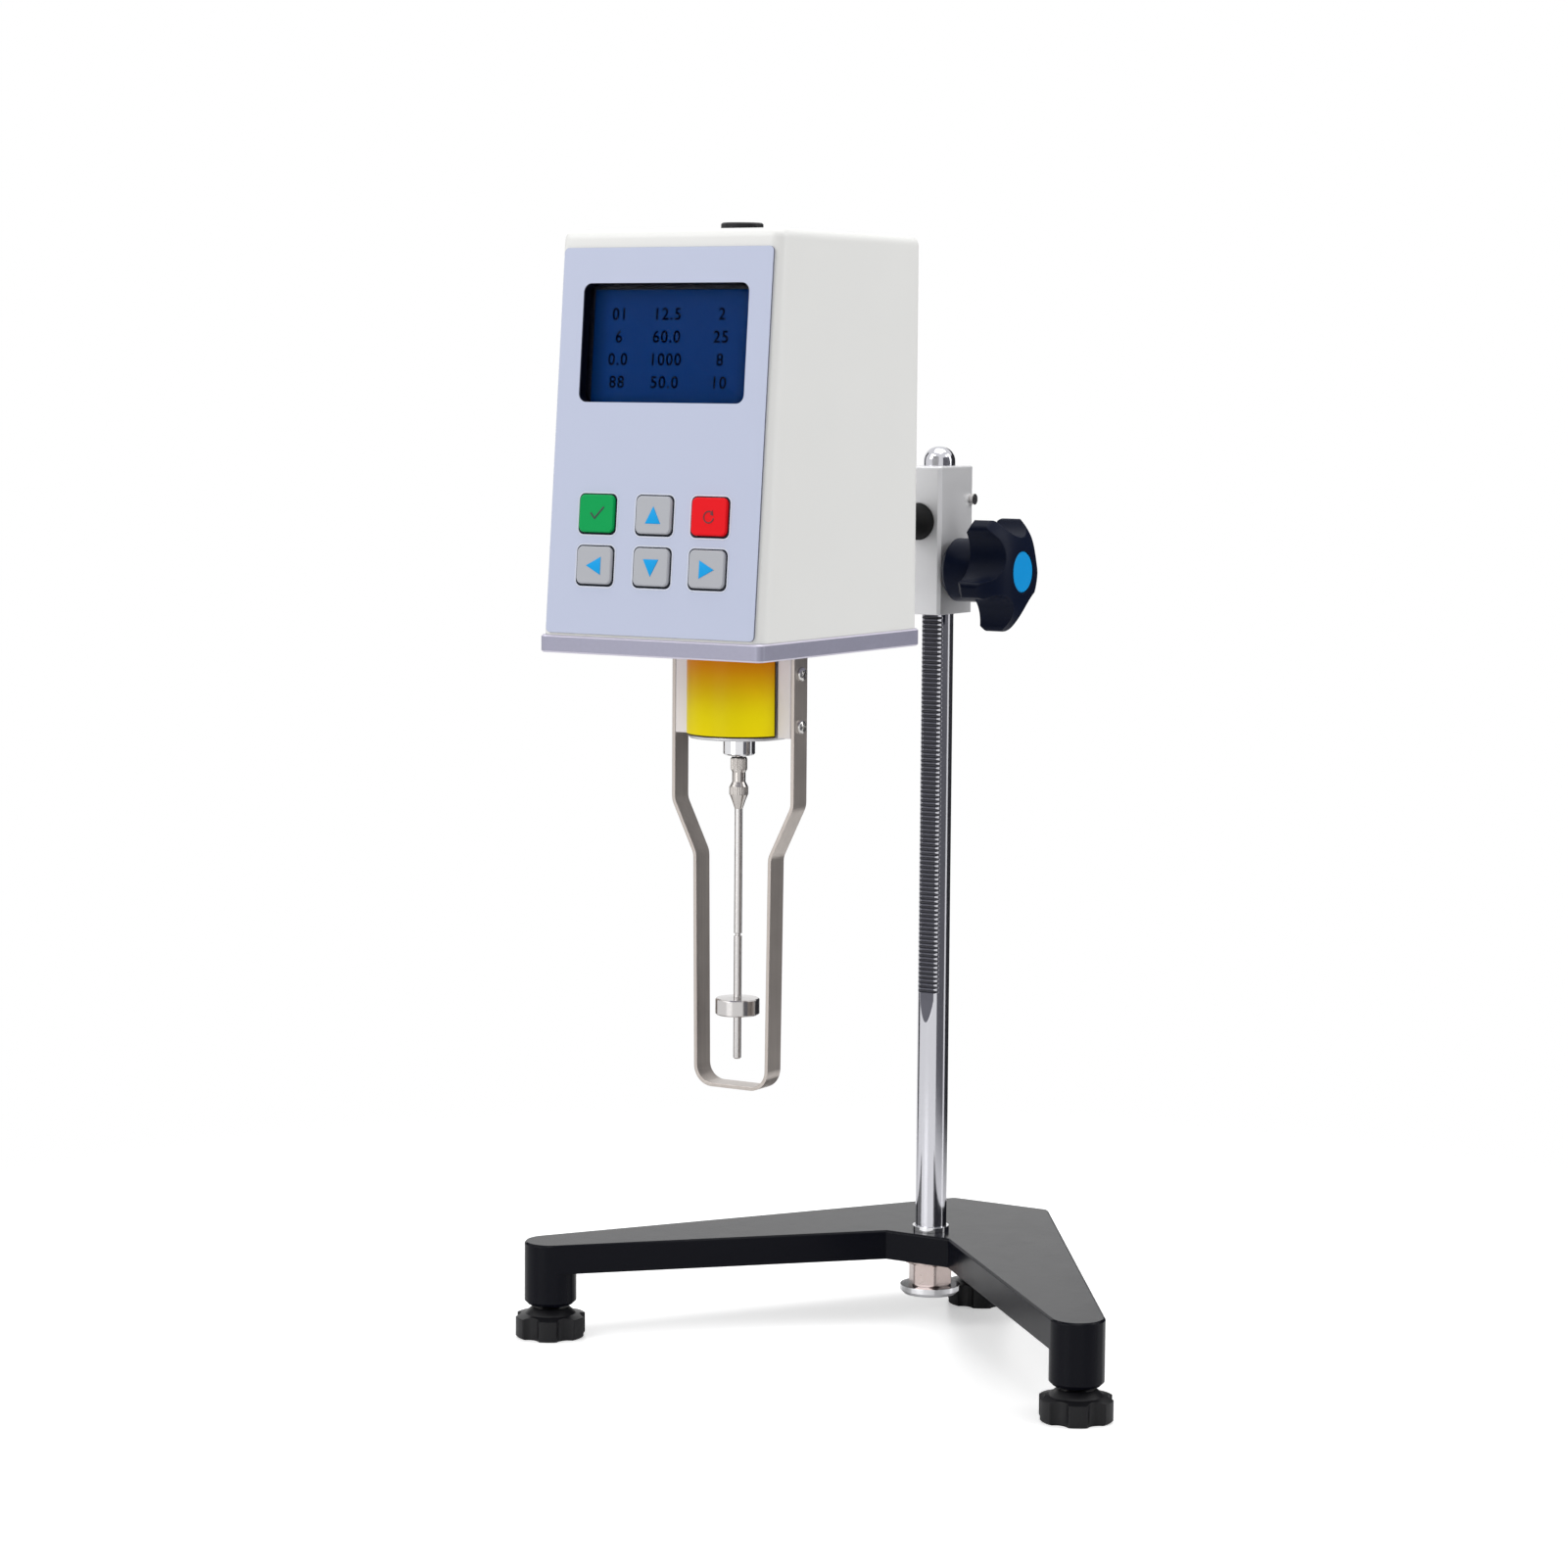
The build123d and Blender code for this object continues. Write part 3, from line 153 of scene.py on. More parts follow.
class Shader:
    """One material, or the world, while its nodes are put together."""

    def __init__(self, block: bpy.types.ID) -> None:
        """Starts an empty node tree.

        Args:
            block: The material or the world that holds it.
        """
        block.use_nodes = True
        self.block, self.tree = block, block.node_tree
        self.tree.nodes.clear()

    def add(self, kind: str, settings: Mapping[str, Any] | None = None,
            sockets: Mapping[str | int, Any] | None = None) -> bpy.types.Node:
        """Adds any node.

        Args:
            kind: The node's type.
            settings: Its own settings, set before its sockets.
            sockets: A value or a link for each named or numbered input.

        Returns:
            The node.
        """
        node = self.tree.nodes.new(kind)
        for key, value in (settings or {}).items():
            setattr(node, key, value)
        for key, value in (sockets or {}).items():
            entry = node.inputs[key]
            if isinstance(value, Signal):
                value = value.socket
            if isinstance(value, Socket):
                self.tree.links.new(value, entry)
            elif entry.type == "RGBA" and len(value) == 3:
                entry.default_value = (*value, 1)
            else:
                entry.default_value = value
        return node

    def place(self) -> Socket:
        """The point on the surface, in the frame's axes at rest."""
        return self.add("ShaderNodeTexCoord").outputs["Object"]

    def axes(self) -> tuple[Signal, Signal, Signal]:
        """The same point as three numbers."""
        split = self.add("ShaderNodeSeparateXYZ", sockets={0: self.place()})
        return tuple(Signal(self, split.outputs[k]) for k in range(3))

    def facing(self) -> tuple[Signal, Signal, Signal]:
        """The surface's own direction as three numbers."""
        normal = self.add("ShaderNodeNewGeometry").outputs["Normal"]
        split = self.add("ShaderNodeSeparateXYZ", sockets={0: normal})
        return tuple(Signal(self, split.outputs[k]) for k in range(3))

    def round_axis(self, x: float, y: float) -> tuple[Signal, Signal]:
        """Distance from an upright axis, and the angle round it.

        Args:
            x: The axis's place along X.
            y: The axis's place along Y.

        Returns:
            The distance and the angle in radians, 0 towards the operator.
        """
        across, along, _ = self.axes()
        across, along = across - x, along - y
        far = across.math("SQRT", across * across + along * along)
        return far, across.math("ARCTAN2", across, along * -1)

    def noise(self, size: float, detail: float = 2, stretch: Sequence[float] = (1, 1, 1)) -> Signal:
        """Cloudy noise.

        Args:
            size: How far apart its blobs are.
            detail: How many finer layers it has.
            stretch: How much longer the blobs are along each axis.

        Returns:
            A value round 0.5.
        """
        scale = tuple(1 / (size * s) for s in stretch)
        point = self.add("ShaderNodeVectorMath", {"operation": "MULTIPLY"}, {0: self.place(), 1: scale})
        sockets = {"Vector": point.outputs[0], "Scale": 1, "Detail": detail}
        node = self.add("ShaderNodeTexNoise", sockets=sockets)
        return Signal(self, node.outputs[0])

    def blend(self, factor: Signal, low: Any, high: Any) -> Socket:
        """Mixes two colours: the first where the factor is 0, the second where it is 1."""
        node = self.add("ShaderNodeMix", {"data_type": "RGBA"}, {0: factor, 6: low, 7: high})
        return node.outputs[2]

    def shade(self, colour: Any, factor: Signal) -> Socket:
        """Makes a colour lighter or darker by a factor round 1."""
        node = self.add("ShaderNodeVectorMath", {"operation": "SCALE"}, {0: colour, "Scale": factor})
        return node.outputs[0]

    def finish(self, surface: Socket) -> bpy.types.Material:
        """Ends the tree at the surface and hands the material over."""
        self.add("ShaderNodeOutputMaterial", sockets={"Surface": surface})
        return self.block


# ---- finishes
@dataclass(frozen=True)
class Finish:
    """A surface finish: a colour that wanders a little, a grain and softened edges."""

    name: str
    colour: Colour
    roughness: float = 0.45
    metallic: float = 0.0
    coat: float = 0.0
    coat_roughness: float = 0.08
    specular: float = 0.5
    wander: float = 0.04
    wander_size: float = 0.02
    grain_size: float = 0.0006
    grain_depth: float = 0.00001
    grain_stretch: Triple = (1, 1, 1)
    edge: float = 0.0004
    made: ClassVar[dict[str, bpy.types.Material]] = {}

    def colour_over(self, shader: Shader) -> Any:
        """How the colour changes over the surface."""
        cloud = shader.noise(self.wander_size, 3)
        return shader.shade(self.colour, 1 + (cloud - 0.5) * (2 * self.wander))

    def roughness_over(self, shader: Shader) -> Any:
        """How the roughness changes over the surface."""
        smudge = shader.noise(self.wander_size * 0.6, 4)
        return self.roughness * (1 + (smudge - 0.5) * 0.35)

    def metallic_over(self, shader: Shader) -> Any:
        """How metallic the surface is."""
        return self.metallic

    def height_over(self, shader: Shader) -> Signal:
        """The fine relief, from 0 to 1 of the grain's depth."""
        return shader.noise(self.grain_size, 2, self.grain_stretch)

    def extra(self) -> dict[str, Any]:
        """More of the shader's sockets."""
        return {}

    def material(self) -> bpy.types.Material:
        """Makes the material once and hands out the same one afterwards.

        Returns:
            The material.
        """
        if self.name in self.made:
            return self.made[self.name]
        shader = Shader(bpy.data.materials.new(self.name))
        soft = shader.add("ShaderNodeBevel", {"samples": 4}, {"Radius": self.edge})
        relief = shader.add("ShaderNodeBump", sockets={
            "Strength": 1.0, "Distance": self.grain_depth, "Height": self.height_over(shader),
            "Normal": soft.outputs[0]})
        body = shader.add("ShaderNodeBsdfPrincipled", sockets={
            "Base Color": self.colour_over(shader), "Roughness": self.roughness_over(shader),
            "Metallic": self.metallic_over(shader), "Coat Weight": self.coat,
            "Coat Roughness": self.coat_roughness, "Specular IOR Level": self.specular,
            "Normal": relief.outputs[0], **self.extra()})
        self.made[self.name] = shader.finish(body.outputs[0])
        return self.made[self.name]


@dataclass(frozen=True)
class PaintWithBevelHighlight(Finish):
    """The bottom plate's paint, with a painted highlight on the bevels that run round it."""

    # lighter colour painted on the bevels as a highlight
    bevel_highlight_colour: Colour = srgb(214, 210, 226)

    def colour_over(self, shader: Shader) -> Any:
        """Lightens the faces that lie between upright and flat as a painted highlight, and speckles the
        rest.
        """
        _, _, rise = shader.facing()
        cloud = shader.noise(0.0016, 3)
        flat = shader.shade(self.colour, 1 + (cloud - 0.5) * (3 * self.wander))
        # painted highlight: the bevel faces, between upright and flat, get the lighter colour
        return shader.blend(abs(rise).near(0.7, 0.1, 0.1), flat, self.bevel_highlight_colour)


@dataclass(frozen=True)
class PanelFilm(Finish):
    """The front panel's film, with painted shade on the panel's own edges."""

    edge_and_shade_colour: Colour = srgb(92, 96, 112)
    turned_away: Span = (0.9, 0.8)

    def colour_over(self, shader: Shader) -> Any:
        """Paints shade on the faces that don't look towards the operator."""
        _, out, _ = shader.facing()
        # painted shade: faces turned away from the operator get the dark edge colour
        return shader.blend(abs(out).rise(*self.turned_away), self.colour, self.edge_and_shade_colour)


@dataclass(frozen=True)
class RackSteel(Finish):
    """The column: bright plating, with the rack's cut teeth dull and dark, and painted shade towards the
    feet of the teeth.
    """

    axis_y: float = 0.0
    radius: float = 0.0072
    low: float = 0.140
    high: float = 0.382
    skin: float = 0.00004
    tooth_foot: float = 0.0047
    tooth_tip: float = 0.0063
    foot_shade_colour: Colour = srgb(64, 64, 72)
    tip_colour: Colour = srgb(84, 84, 94)
    cut_dullness: float = 0.85

    def cut(self, shader: Shader) -> Signal:
        """Where the surface lies inside the bar's round outline, below its domed top."""
        far, _ = shader.round_axis(0, self.axis_y)
        _, _, height = shader.axes()
        inside = far.rise(self.radius - self.skin, self.radius - 3 * self.skin)
        below = height.rise(self.high, self.high - 0.001)
        return inside * below * height.rise(self.low, self.low + 0.0005)

    def colour_over(self, shader: Shader) -> Any:
        """Bright outside, dark in the cut with painted shade between the teeth, and a little lighter on
        their tips.
        """
        _, along, _ = shader.axes()
        # painted shade: the cut's colour darkens from the teeth's tips towards their feet
        depth = (self.axis_y - along).rise(self.tooth_foot, self.tooth_tip)
        tooth = shader.blend(depth, self.foot_shade_colour, self.tip_colour)
        return shader.blend(self.cut(shader), self.colour, tooth)

    def metallic_over(self, shader: Shader) -> Any:
        """Metal outside and less metallic in the cut."""
        return 1 - self.cut(shader) * self.cut_dullness

    def roughness_over(self, shader: Shader) -> Any:
        """Polished plating and dull teeth."""
        haze = shader.noise(0.004, 4, (1, 1, 6))
        return self.roughness * (1 + (haze - 0.5) * 0.8) + self.cut(shader) * 0.3


@dataclass(frozen=True)
class TurnedSteel(Finish):
    """Turned metal with faint rings round an upright axis."""

    pitch: float = 0.00035

    def height_over(self, shader: Shader) -> Signal:
        """Fine turning lines, one under the other."""
        _, _, height = shader.axes()
        jitter = shader.noise(0.0015, 2, (8, 8, 1))
        return (height * (math.tau / self.pitch) + jitter * 6).wave()


@dataclass(frozen=True)
class StripSteel(Finish):
    """Rolled strip with a satin grain along its length."""

    def colour_over(self, shader: Shader) -> Any:
        """Warm grey with long streaks."""
        streak = shader.noise(0.0012, 4, (1, 1, 40))
        return shader.shade(self.colour, 0.86 + streak * 0.28)


@dataclass(frozen=True)
class BandPaint(Finish):
    """The hub's wrap-round band: yellow, orange towards the top, with dark edges that are partly its own
    ends and partly painted shade.
    """

    axis_y: float = 0.0
    low: float = 0.0
    high: float = 0.0
    half_sweep: float = math.radians(75)
    grade_start: float = 0.2
    top_colour: Colour = srgb(232, 132, 0)
    edge_and_shade_colour: Colour = srgb(58, 42, 12)

    def colour_over(self, shader: Shader) -> Any:
        """Grades from the bottom to the top and darkens the outer edges, partly as painted shade."""
        _, angle = shader.round_axis(0, self.axis_y)
        _, _, height = shader.axes()
        cloud = shader.noise(0.012, 3)
        span = self.high - self.low
        climb = height.rise(self.low + self.grade_start * span, self.high)
        graded = shader.blend(climb, self.colour, self.top_colour)
        faded = shader.shade(graded, 0.97 + cloud * 0.06)
        # the dark sides and bottom rim are partly the band's own edges and partly painted shade
        sides = abs(angle).rise(self.half_sweep - 0.035, self.half_sweep - 0.02)
        rim = height.rise(self.low + 0.0009, self.low + 0.0005)
        outline = sides.math("MAXIMUM", sides, rim)
        return shader.blend(outline, faded, self.edge_and_shade_colour)


@dataclass(frozen=True)
class ScreenFilm(Finish):
    """The lit field of the display, dimmer towards its border."""

    half_width: float = 0.036
    glow: float = 0.13

    def colour_over(self, shader: Shader) -> Any:
        """A deep blue with a faint dot grid."""
        x, _, z = shader.axes()
        dots = (x * (math.tau / 0.00058)).wave() * (z * (math.tau / 0.00058)).wave()
        inside = abs(x).rise(self.half_width, self.half_width - 0.006)
        return shader.shade(self.colour, (0.72 + inside * 0.28) * (0.93 + dots * 0.1))

    def extra(self) -> dict[str, Any]:
        """The backlight."""
        return {"Emission Color": (*self.colour, 1), "Emission Strength": self.glow}


@dataclass(frozen=True)
class ClearPane(Finish):
    """Clear glass or acrylic."""

    index: float = 1.47

    def extra(self) -> dict[str, Any]:
        """Lets the light through."""
        return {"Transmission Weight": 1.0, "IOR": self.index}


@dataclass(frozen=True)
class PinnedSocket(Finish):
    """The mains inlet: black plastic round three bright pins."""

    pins: tuple[Point, ...] = ()
    pin_half: Span = (0.0018, 0.00324)
    soft: float = 0.0001

    def metallic_over(self, shader: Shader) -> Any:
        """Is 1 on the pins, which stand apart from the walls."""
        x, _, z = shader.axes()
        half_x, half_z = self.pin_half
        found = 0.0
        for across, up in self.pins:
            found = x.near(across, half_x, self.soft) * z.near(up, half_z, self.soft) + found
        return found

    def colour_over(self, shader: Shader) -> Any:
        """Nickel on the pins and black elsewhere."""
        return shader.blend(self.metallic_over(shader), self.colour, srgb(196, 192, 184))


@dataclass(frozen=True)
class MarkedRocker(Finish):
    """The mains switch's rocker with its plain on and off marks."""

    middle_x: float = 0.0
    on_z: float = 0.0
    off_z: float = 0.0
    bar: Span = (0.0004, 0.0019)
    ring: Span = (0.0016, 0.0003)
    soft: float = 0.0001

    def colour_over(self, shader: Shader) -> Any:
        """White bar and ring on black, on the outer side only."""
        x, _, z = shader.axes()
        across = x - self.middle_x
        half, reach = self.bar
        bar = abs(across).rise(half + self.soft, half) * z.near(self.on_z, reach, self.soft)
        up = z - self.off_z
        ring = across.math("SQRT", across * across + up * up).near(*self.ring, self.soft)
        _, out, _ = shader.facing()
        marks = bar.math("MAXIMUM", bar, ring) * out.rise(0.5, 0.8)
        return shader.blend(marks, self.colour, srgb(232, 232, 230))


class Palette:
    """The instrument's own finishes."""

    HOUSING = Finish("housing_powder_coat", srgb(232, 232, 230), roughness=0.42, wander=0.008,
                     wander_size=0.05, grain_size=0.0009, grain_depth=0.000012, edge=0.0008)
    PLATE = PaintWithBevelHighlight("plate_grey_paint", srgb(158, 157, 176), roughness=0.36, metallic=0.25)
    PANEL = PanelFilm("panel_lilac_film", srgb(190, 197, 220), roughness=0.5, grain_size=0.0003,
                      grain_depth=0.000004, edge=0.0003)
    HALO = Finish("key_halo_print", srgb(216, 221, 236), roughness=0.48, wander=0.01)
    BEZEL = Finish("display_bezel_black", srgb(9, 12, 24), roughness=0.34, specular=0.12, edge=0.0003)
    # painted shade for the gaps round the keys
    GAP_SHADE = Finish("key_gap_painted_shade", srgb(30, 34, 44), roughness=0.6, specular=0.1)
    MATT_BLACK = Finish("rod_end_matt_black", srgb(14, 14, 15), roughness=0.65, specular=0.1)
    GREEN_KEY = Finish("green_key_plastic", srgb(0, 160, 82), roughness=0.42, specular=0.12,
                       grain_size=0.0004, wander=0.015)
    RED_KEY = replace(GREEN_KEY, name="red_key_plastic", colour=srgb(236, 16, 28))
    GREY_KEY = replace(GREEN_KEY, name="grey_key_plastic", colour=srgb(178, 180, 186), roughness=0.46,
                       specular=0.3)
    ARROW = Finish("arrow_print_cyan", srgb(16, 162, 232), roughness=0.4, specular=0.15,
                   wander=0.02, wander_size=0.004)
    DARK_MARK = Finish("key_mark_dark", srgb(20, 46, 40), roughness=0.5, wander=0.02)
    RED_MARK = Finish("key_mark_maroon", srgb(92, 10, 22), roughness=0.5, wander=0.02)
    FIELD = ScreenFilm("display_field_blue", srgb(0, 38, 88), roughness=0.4, specular=0.03)
    DIGITS = Finish("display_digits_dark", srgb(1, 4, 16), roughness=0.6, specular=0.0, wander=0.02)
    PANE = ClearPane("display_pane_clear", (1, 1, 1), roughness=0.02, wander=0, grain_depth=0.0000005,
                     specular=0.1, index=1.08)
    GLOSS_BLACK = Finish("base_black_enamel", srgb(8, 9, 17), roughness=0.2, specular=0.1, wander=0.1,
                         grain_size=0.0035, grain_depth=0.00003, edge=0.0007)
    BLACK_PLASTIC = Finish("black_moulding", srgb(17, 17, 20), roughness=0.38, specular=0.25,
                           grain_size=0.0005, wander=0.08, edge=0.0005)
    KNOB_BLACK = Finish("knob_navy_black", srgb(12, 19, 38), roughness=0.36, specular=0.08,
                        grain_size=0.0007, grain_depth=0.000012, wander=0.08, edge=0.0009)
    CAP_BLUE = Finish("cap_blue_plastic", srgb(0, 145, 215), roughness=0.4, specular=0.15,
                      wander=0.03)
    CHROME = Finish("bright_chrome", (0.74, 0.74, 0.76), roughness=0.1, metallic=1.0, wander=0.03,
                    grain_size=0.002, grain_depth=0.000004, edge=0.0003)
    NUT = Finish("nut_nickel", srgb(186, 172, 168), roughness=0.26, metallic=1.0, wander=0.06,
                 wander_size=0.006, grain_depth=0.000008)
    BLOCK = Finish("block_satin_aluminium", srgb(226, 226, 228), roughness=0.42, metallic=0.55, wander=0.02,
                   grain_size=0.0003, grain_depth=0.000008, edge=0.0006)
    HUB = TurnedSteel("hub_aluminium", srgb(205, 205, 208), roughness=0.34, metallic=0.8, wander=0.02,
                      grain_depth=0.000006)
    BRACKET = Finish("bracket_satin_plate", srgb(236, 230, 230), roughness=0.4, metallic=0.15, wander=0.02,
                     grain_size=0.0003, grain_depth=0.000006, edge=0.0005)
    GUARD = StripSteel("guard_satin_steel", srgb(186, 178, 172), roughness=0.3, metallic=0.75,
                       grain_size=0.0004, grain_depth=0.000006, grain_stretch=(1, 1, 60))
    SPINDLE = TurnedSteel("spindle_ground_steel", srgb(200, 197, 196), roughness=0.17, metallic=1.0,
                          grain_depth=0.000005, edge=0.0003)
    COUPLING = TurnedSteel("coupling_steel", srgb(186, 181, 177), roughness=0.2, metallic=1.0, wander=0.06,
                           grain_depth=0.000006, edge=0.0002)
    SCREW = Finish("screw_bright_steel", srgb(200, 198, 196), roughness=0.22, metallic=1.0, wander=0.06,
                   wander_size=0.002, grain_depth=0.000004, edge=0.0002)
    DARK_STEEL = Finish("blackened_steel", srgb(52, 52, 56), roughness=0.4, metallic=0.9, wander=0.08)
    BRONZE = Finish("bush_bronze", srgb(176, 128, 70), roughness=0.35, metallic=1.0, wander=0.06)
    BOARD = Finish("board_green_resist", srgb(18, 92, 52), roughness=0.35, coat=0.4, wander=0.05)
    FLUID = ClearPane("level_fluid", srgb(206, 232, 120), roughness=0.04, wander=0, grain_depth=0.0000005)
    LEVEL_LINE = Finish("level_circle_print", srgb(20, 22, 20), roughness=0.5)
    BUBBLE = Finish("level_bubble_rim", srgb(240, 246, 226), roughness=0.1, coat=0.5, wander=0.01)


# ---- meshes
def rounded_outline(width: float, height: float, radius: float, steps: int = 6) -> list[Point]:
    """The outline of a rectangle with round corners, anticlockwise.

    Args:
        width: Its size across.
        height: Its size up.
        radius: The corners' radius.
        steps: How many pieces make each corner.

    Returns:
        The outline's points round its own middle.
    """
    points = []
    for corner, (sx, sy) in enumerate(((1, 1), (-1, 1), (-1, -1), (1, -1))):
        for k in range(steps + 1):
            turn = math.radians(90 * (corner + k / steps))
            points.append((sx * (width / 2 - radius) + radius * math.cos(turn),
                           sy * (height / 2 - radius) + radius * math.sin(turn)))
    return points


def polar(far: float, turn: float) -> Point:
    """The point at a distance from the middle and at an angle from X."""
    return far * math.cos(turn), far * math.sin(turn)


def linked(name: str, data: bpy.types.ID) -> bpy.types.Object:
    """Makes an object that holds the data and links it into the scene.

    Args:
        name: The object's name.
        data: What it holds.

    Returns:
        The object.
    """
    thing = bpy.data.objects.new(name, data)
    bpy.context.scene.collection.objects.link(thing)
    return thing


class Form:
    """A mesh while it is put together, in its own axes until it is set in place."""

    def __init__(self, mesh: bmesh.types.BMesh | None = None) -> None:
        """Starts from nothing or from a mesh."""
        self.mesh = mesh or bmesh.new()

    @classmethod
    def turned(cls, profile: Sequence[Point], segments: int = 64) -> "Form":
        """Turns a profile round Z.

        Args:
            profile: Distances from the axis and heights, from one end to the other.
            segments: How many steps go round.

        Returns:
            The turned form.
        """
        form = cls()
        points = [form.mesh.verts.new((far, 0, height)) for far, height in profile]
        lines = [form.mesh.edges.new(pair) for pair in zip(points, points[1:])]
        bmesh.ops.spin(form.mesh, geom=points + lines, cent=(0, 0, 0), axis=(0, 0, 1),
                       angle=math.tau, steps=segments, use_merge=True)
        bmesh.ops.remove_doubles(form.mesh, verts=form.mesh.verts[:], dist=1e-8)
        return form.tidied()

    @classmethod
    def prism(cls, outline: Sequence[Point], low: float, high: float, bevel: float = 0.0,
              hole: Sequence[Point] = ()) -> "Form":
        """Raises an outline along Z and softens the edges of its upper face.

        Args:
            outline: The outline's points.
            low: Where it starts.
            high: Where it ends.
            bevel: How far the upper edges are rounded back.
            hole: The outline of a hole through it, with as many points as the outline.

        Returns:
            The raised form.
        """
        form = cls()
        loops = [[form.mesh.verts.new((x, y, low)) for x, y in points]
                 for points in (outline, hole) if points]
        if hole:
            outer, inner = loops
            count = len(outer)
            after = [(k + 1) % count for k in range(count)]
            faces = [form.mesh.faces.new((outer[k], outer[n], inner[n], inner[k]))
                     for k, n in enumerate(after)]
        else:
            faces = [form.mesh.faces.new(loops[0])]
        raised = bmesh.ops.extrude_face_region(form.mesh, geom=faces)["geom"]
        tops = [item for item in raised if isinstance(item, bmesh.types.BMVert)]
        bmesh.ops.translate(form.mesh, verts=tops, vec=(0, 0, high - low))
        form.tidied()
        if bevel:
            rim = [edge for edge in form.mesh.edges if all(v.co.z > high - 1e-9 for v in edge.verts)
                   and any(abs(f.normal.z) < 0.5 for f in edge.link_faces)]
            bmesh.ops.bevel(form.mesh, geom=rim, offset=bevel, segments=3, profile=0.5, affect="EDGES")
        return form

    def thing(self, name: str) -> bpy.types.Object:
        """Makes an object of this form and links it into the scene.

        Args:
            name: The name of the object and its mesh.

        Returns:
            The object.
        """
        mesh = bpy.data.meshes.new(name)
        self.mesh.to_mesh(mesh)
        return linked(name, mesh)

    def tidied(self) -> "Form":
        """Turns every face outwards."""
        bmesh.ops.recalc_face_normals(self.mesh, faces=self.mesh.faces[:])
        return self

    def set_in(self, place: Matrix) -> "Form":
        """Moves the whole form."""
        bmesh.ops.transform(self.mesh, matrix=place, verts=self.mesh.verts[:])
        return self

    def joined(self, others: Iterable["Form"]) -> "Form":
        """Takes other forms in."""
        for other in others:
            spare = bpy.data.meshes.new("spare")
            other.mesh.to_mesh(spare)
            self.mesh.from_mesh(spare)
            bpy.data.meshes.remove(spare)
        return self

    def copies(self, places: Iterable[Matrix]) -> "Form":
        """One form with a copy of this one at each place."""
        return Form().joined(Form(self.mesh.copy()).set_in(place) for place in places)

    def cut_by(self, cutter: "Form") -> "Form":
        """Takes another form's shape out of this one.

        Args:
            cutter: The shape to take out.

        Returns:
            What is left.
        """
        shapes = [form.thing("cutting") for form in (self, cutter)]
        change = shapes[0].modifiers.new("cut", "BOOLEAN")
        change.operation, change.object, change.solver = "DIFFERENCE", shapes[1], "EXACT"
        bpy.context.view_layer.update()
        left = shapes[0].evaluated_get(bpy.context.evaluated_depsgraph_get()).to_mesh()
        result = Form()
        result.mesh.from_mesh(left)
        for shape in shapes:
            bpy.data.objects.remove(shape)
        return result


@dataclass
class Piece:
    """A finished piece of the scene that rides on one of the frame's bodies."""

    name: str
    form: Form
    finish: Finish
    body: str
    slot: str
    replaces: tuple[str, ...] = ()
    crease: float = math.radians(35)

    def place(self) -> None:
        """Makes the object, dresses it and hands it to its body."""
        thing = self.form.thing(self.name)
        mesh = thing.data
        mesh.shade_smooth()
        mesh.set_sharp_from_angle(angle=self.crease)
        mesh.materials.append(self.finish.material())
        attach(thing, self.body)
        if self.replaces:
            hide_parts(*self.replaces)
        LOG.info("%s: %d faces on %s", self.name, len(mesh.polygons), self.body)


def seat(point: Vector, out: Vector, up: Vector = Vector((0, 0, 1))) -> Matrix:
    """A place whose own Z looks out of a surface and whose own Y looks up.

    Args:
        point: Where it is.
        out: The way its Z looks.
        up: Roughly the way its Y looks.

    Returns:
        The place as a matrix.
    """
    normal = out.normalized()
    across = up.cross(normal).normalized()
    turned = Matrix((across, normal.cross(across), normal)).transposed().to_4x4()
    return Matrix.Translation(point) @ turned


# ---- sub-assemblies
@dataclass
class Assembly:
    """One sub-assembly of the instrument."""

    nodes: Mapping[str, bpy.types.Object]
    finishes: ClassVar[dict[Finish, tuple[str, ...]]] = {}

    def clad(self, finish: Finish, *names: str) -> None:
        """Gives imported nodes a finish.

        Args:
            finish: The finish.
            names: The nodes that get it.
        """
        for name in names:
            mesh = self.nodes[name].data
            mesh.materials.clear()
            mesh.materials.append(finish.material())
            LOG.info("%s: %s", name, finish.name)

    def centre(self, name: str) -> Vector:
        """The middle of a node's box."""
        low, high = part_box(name)
        return (low + high) / 2

    def build(self) -> None:
        """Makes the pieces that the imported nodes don't have."""

    def dress(self) -> None:
        """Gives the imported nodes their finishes."""
        for finish, names in self.finishes.items():
            self.clad(finish, *names)


@dataclass
class PanHead:
    """A pan head screw with a cross recess."""

    width: float
    height: float
    recess: float = 0.62
    arm: float = 0.15

    def form(self) -> Form:
        """Builds the head with its own Z out of the surface it sits on."""
        radius, crown = self.width / 2, self.height
        edge = [(radius * math.cos(t), crown * (0.35 + 0.65 * math.sin(t)))
                for t in (math.radians(15 * k) for k in range(7))]
        head = Form.turned([(0, 0), (radius, 0), *edge[:-1], (0, crown)], 32)
        half, arm = self.recess * radius, self.arm * radius
        cross = [(half, -arm), (half, arm), (arm, arm), (arm, half), (-arm, half), (-arm, arm),
                 (-half, arm), (-half, -arm), (-arm, -arm), (-arm, -half), (arm, -half), (arm, -arm)]
        return head.cut_by(Form.prism(cross, crown * 0.35, crown * 2))


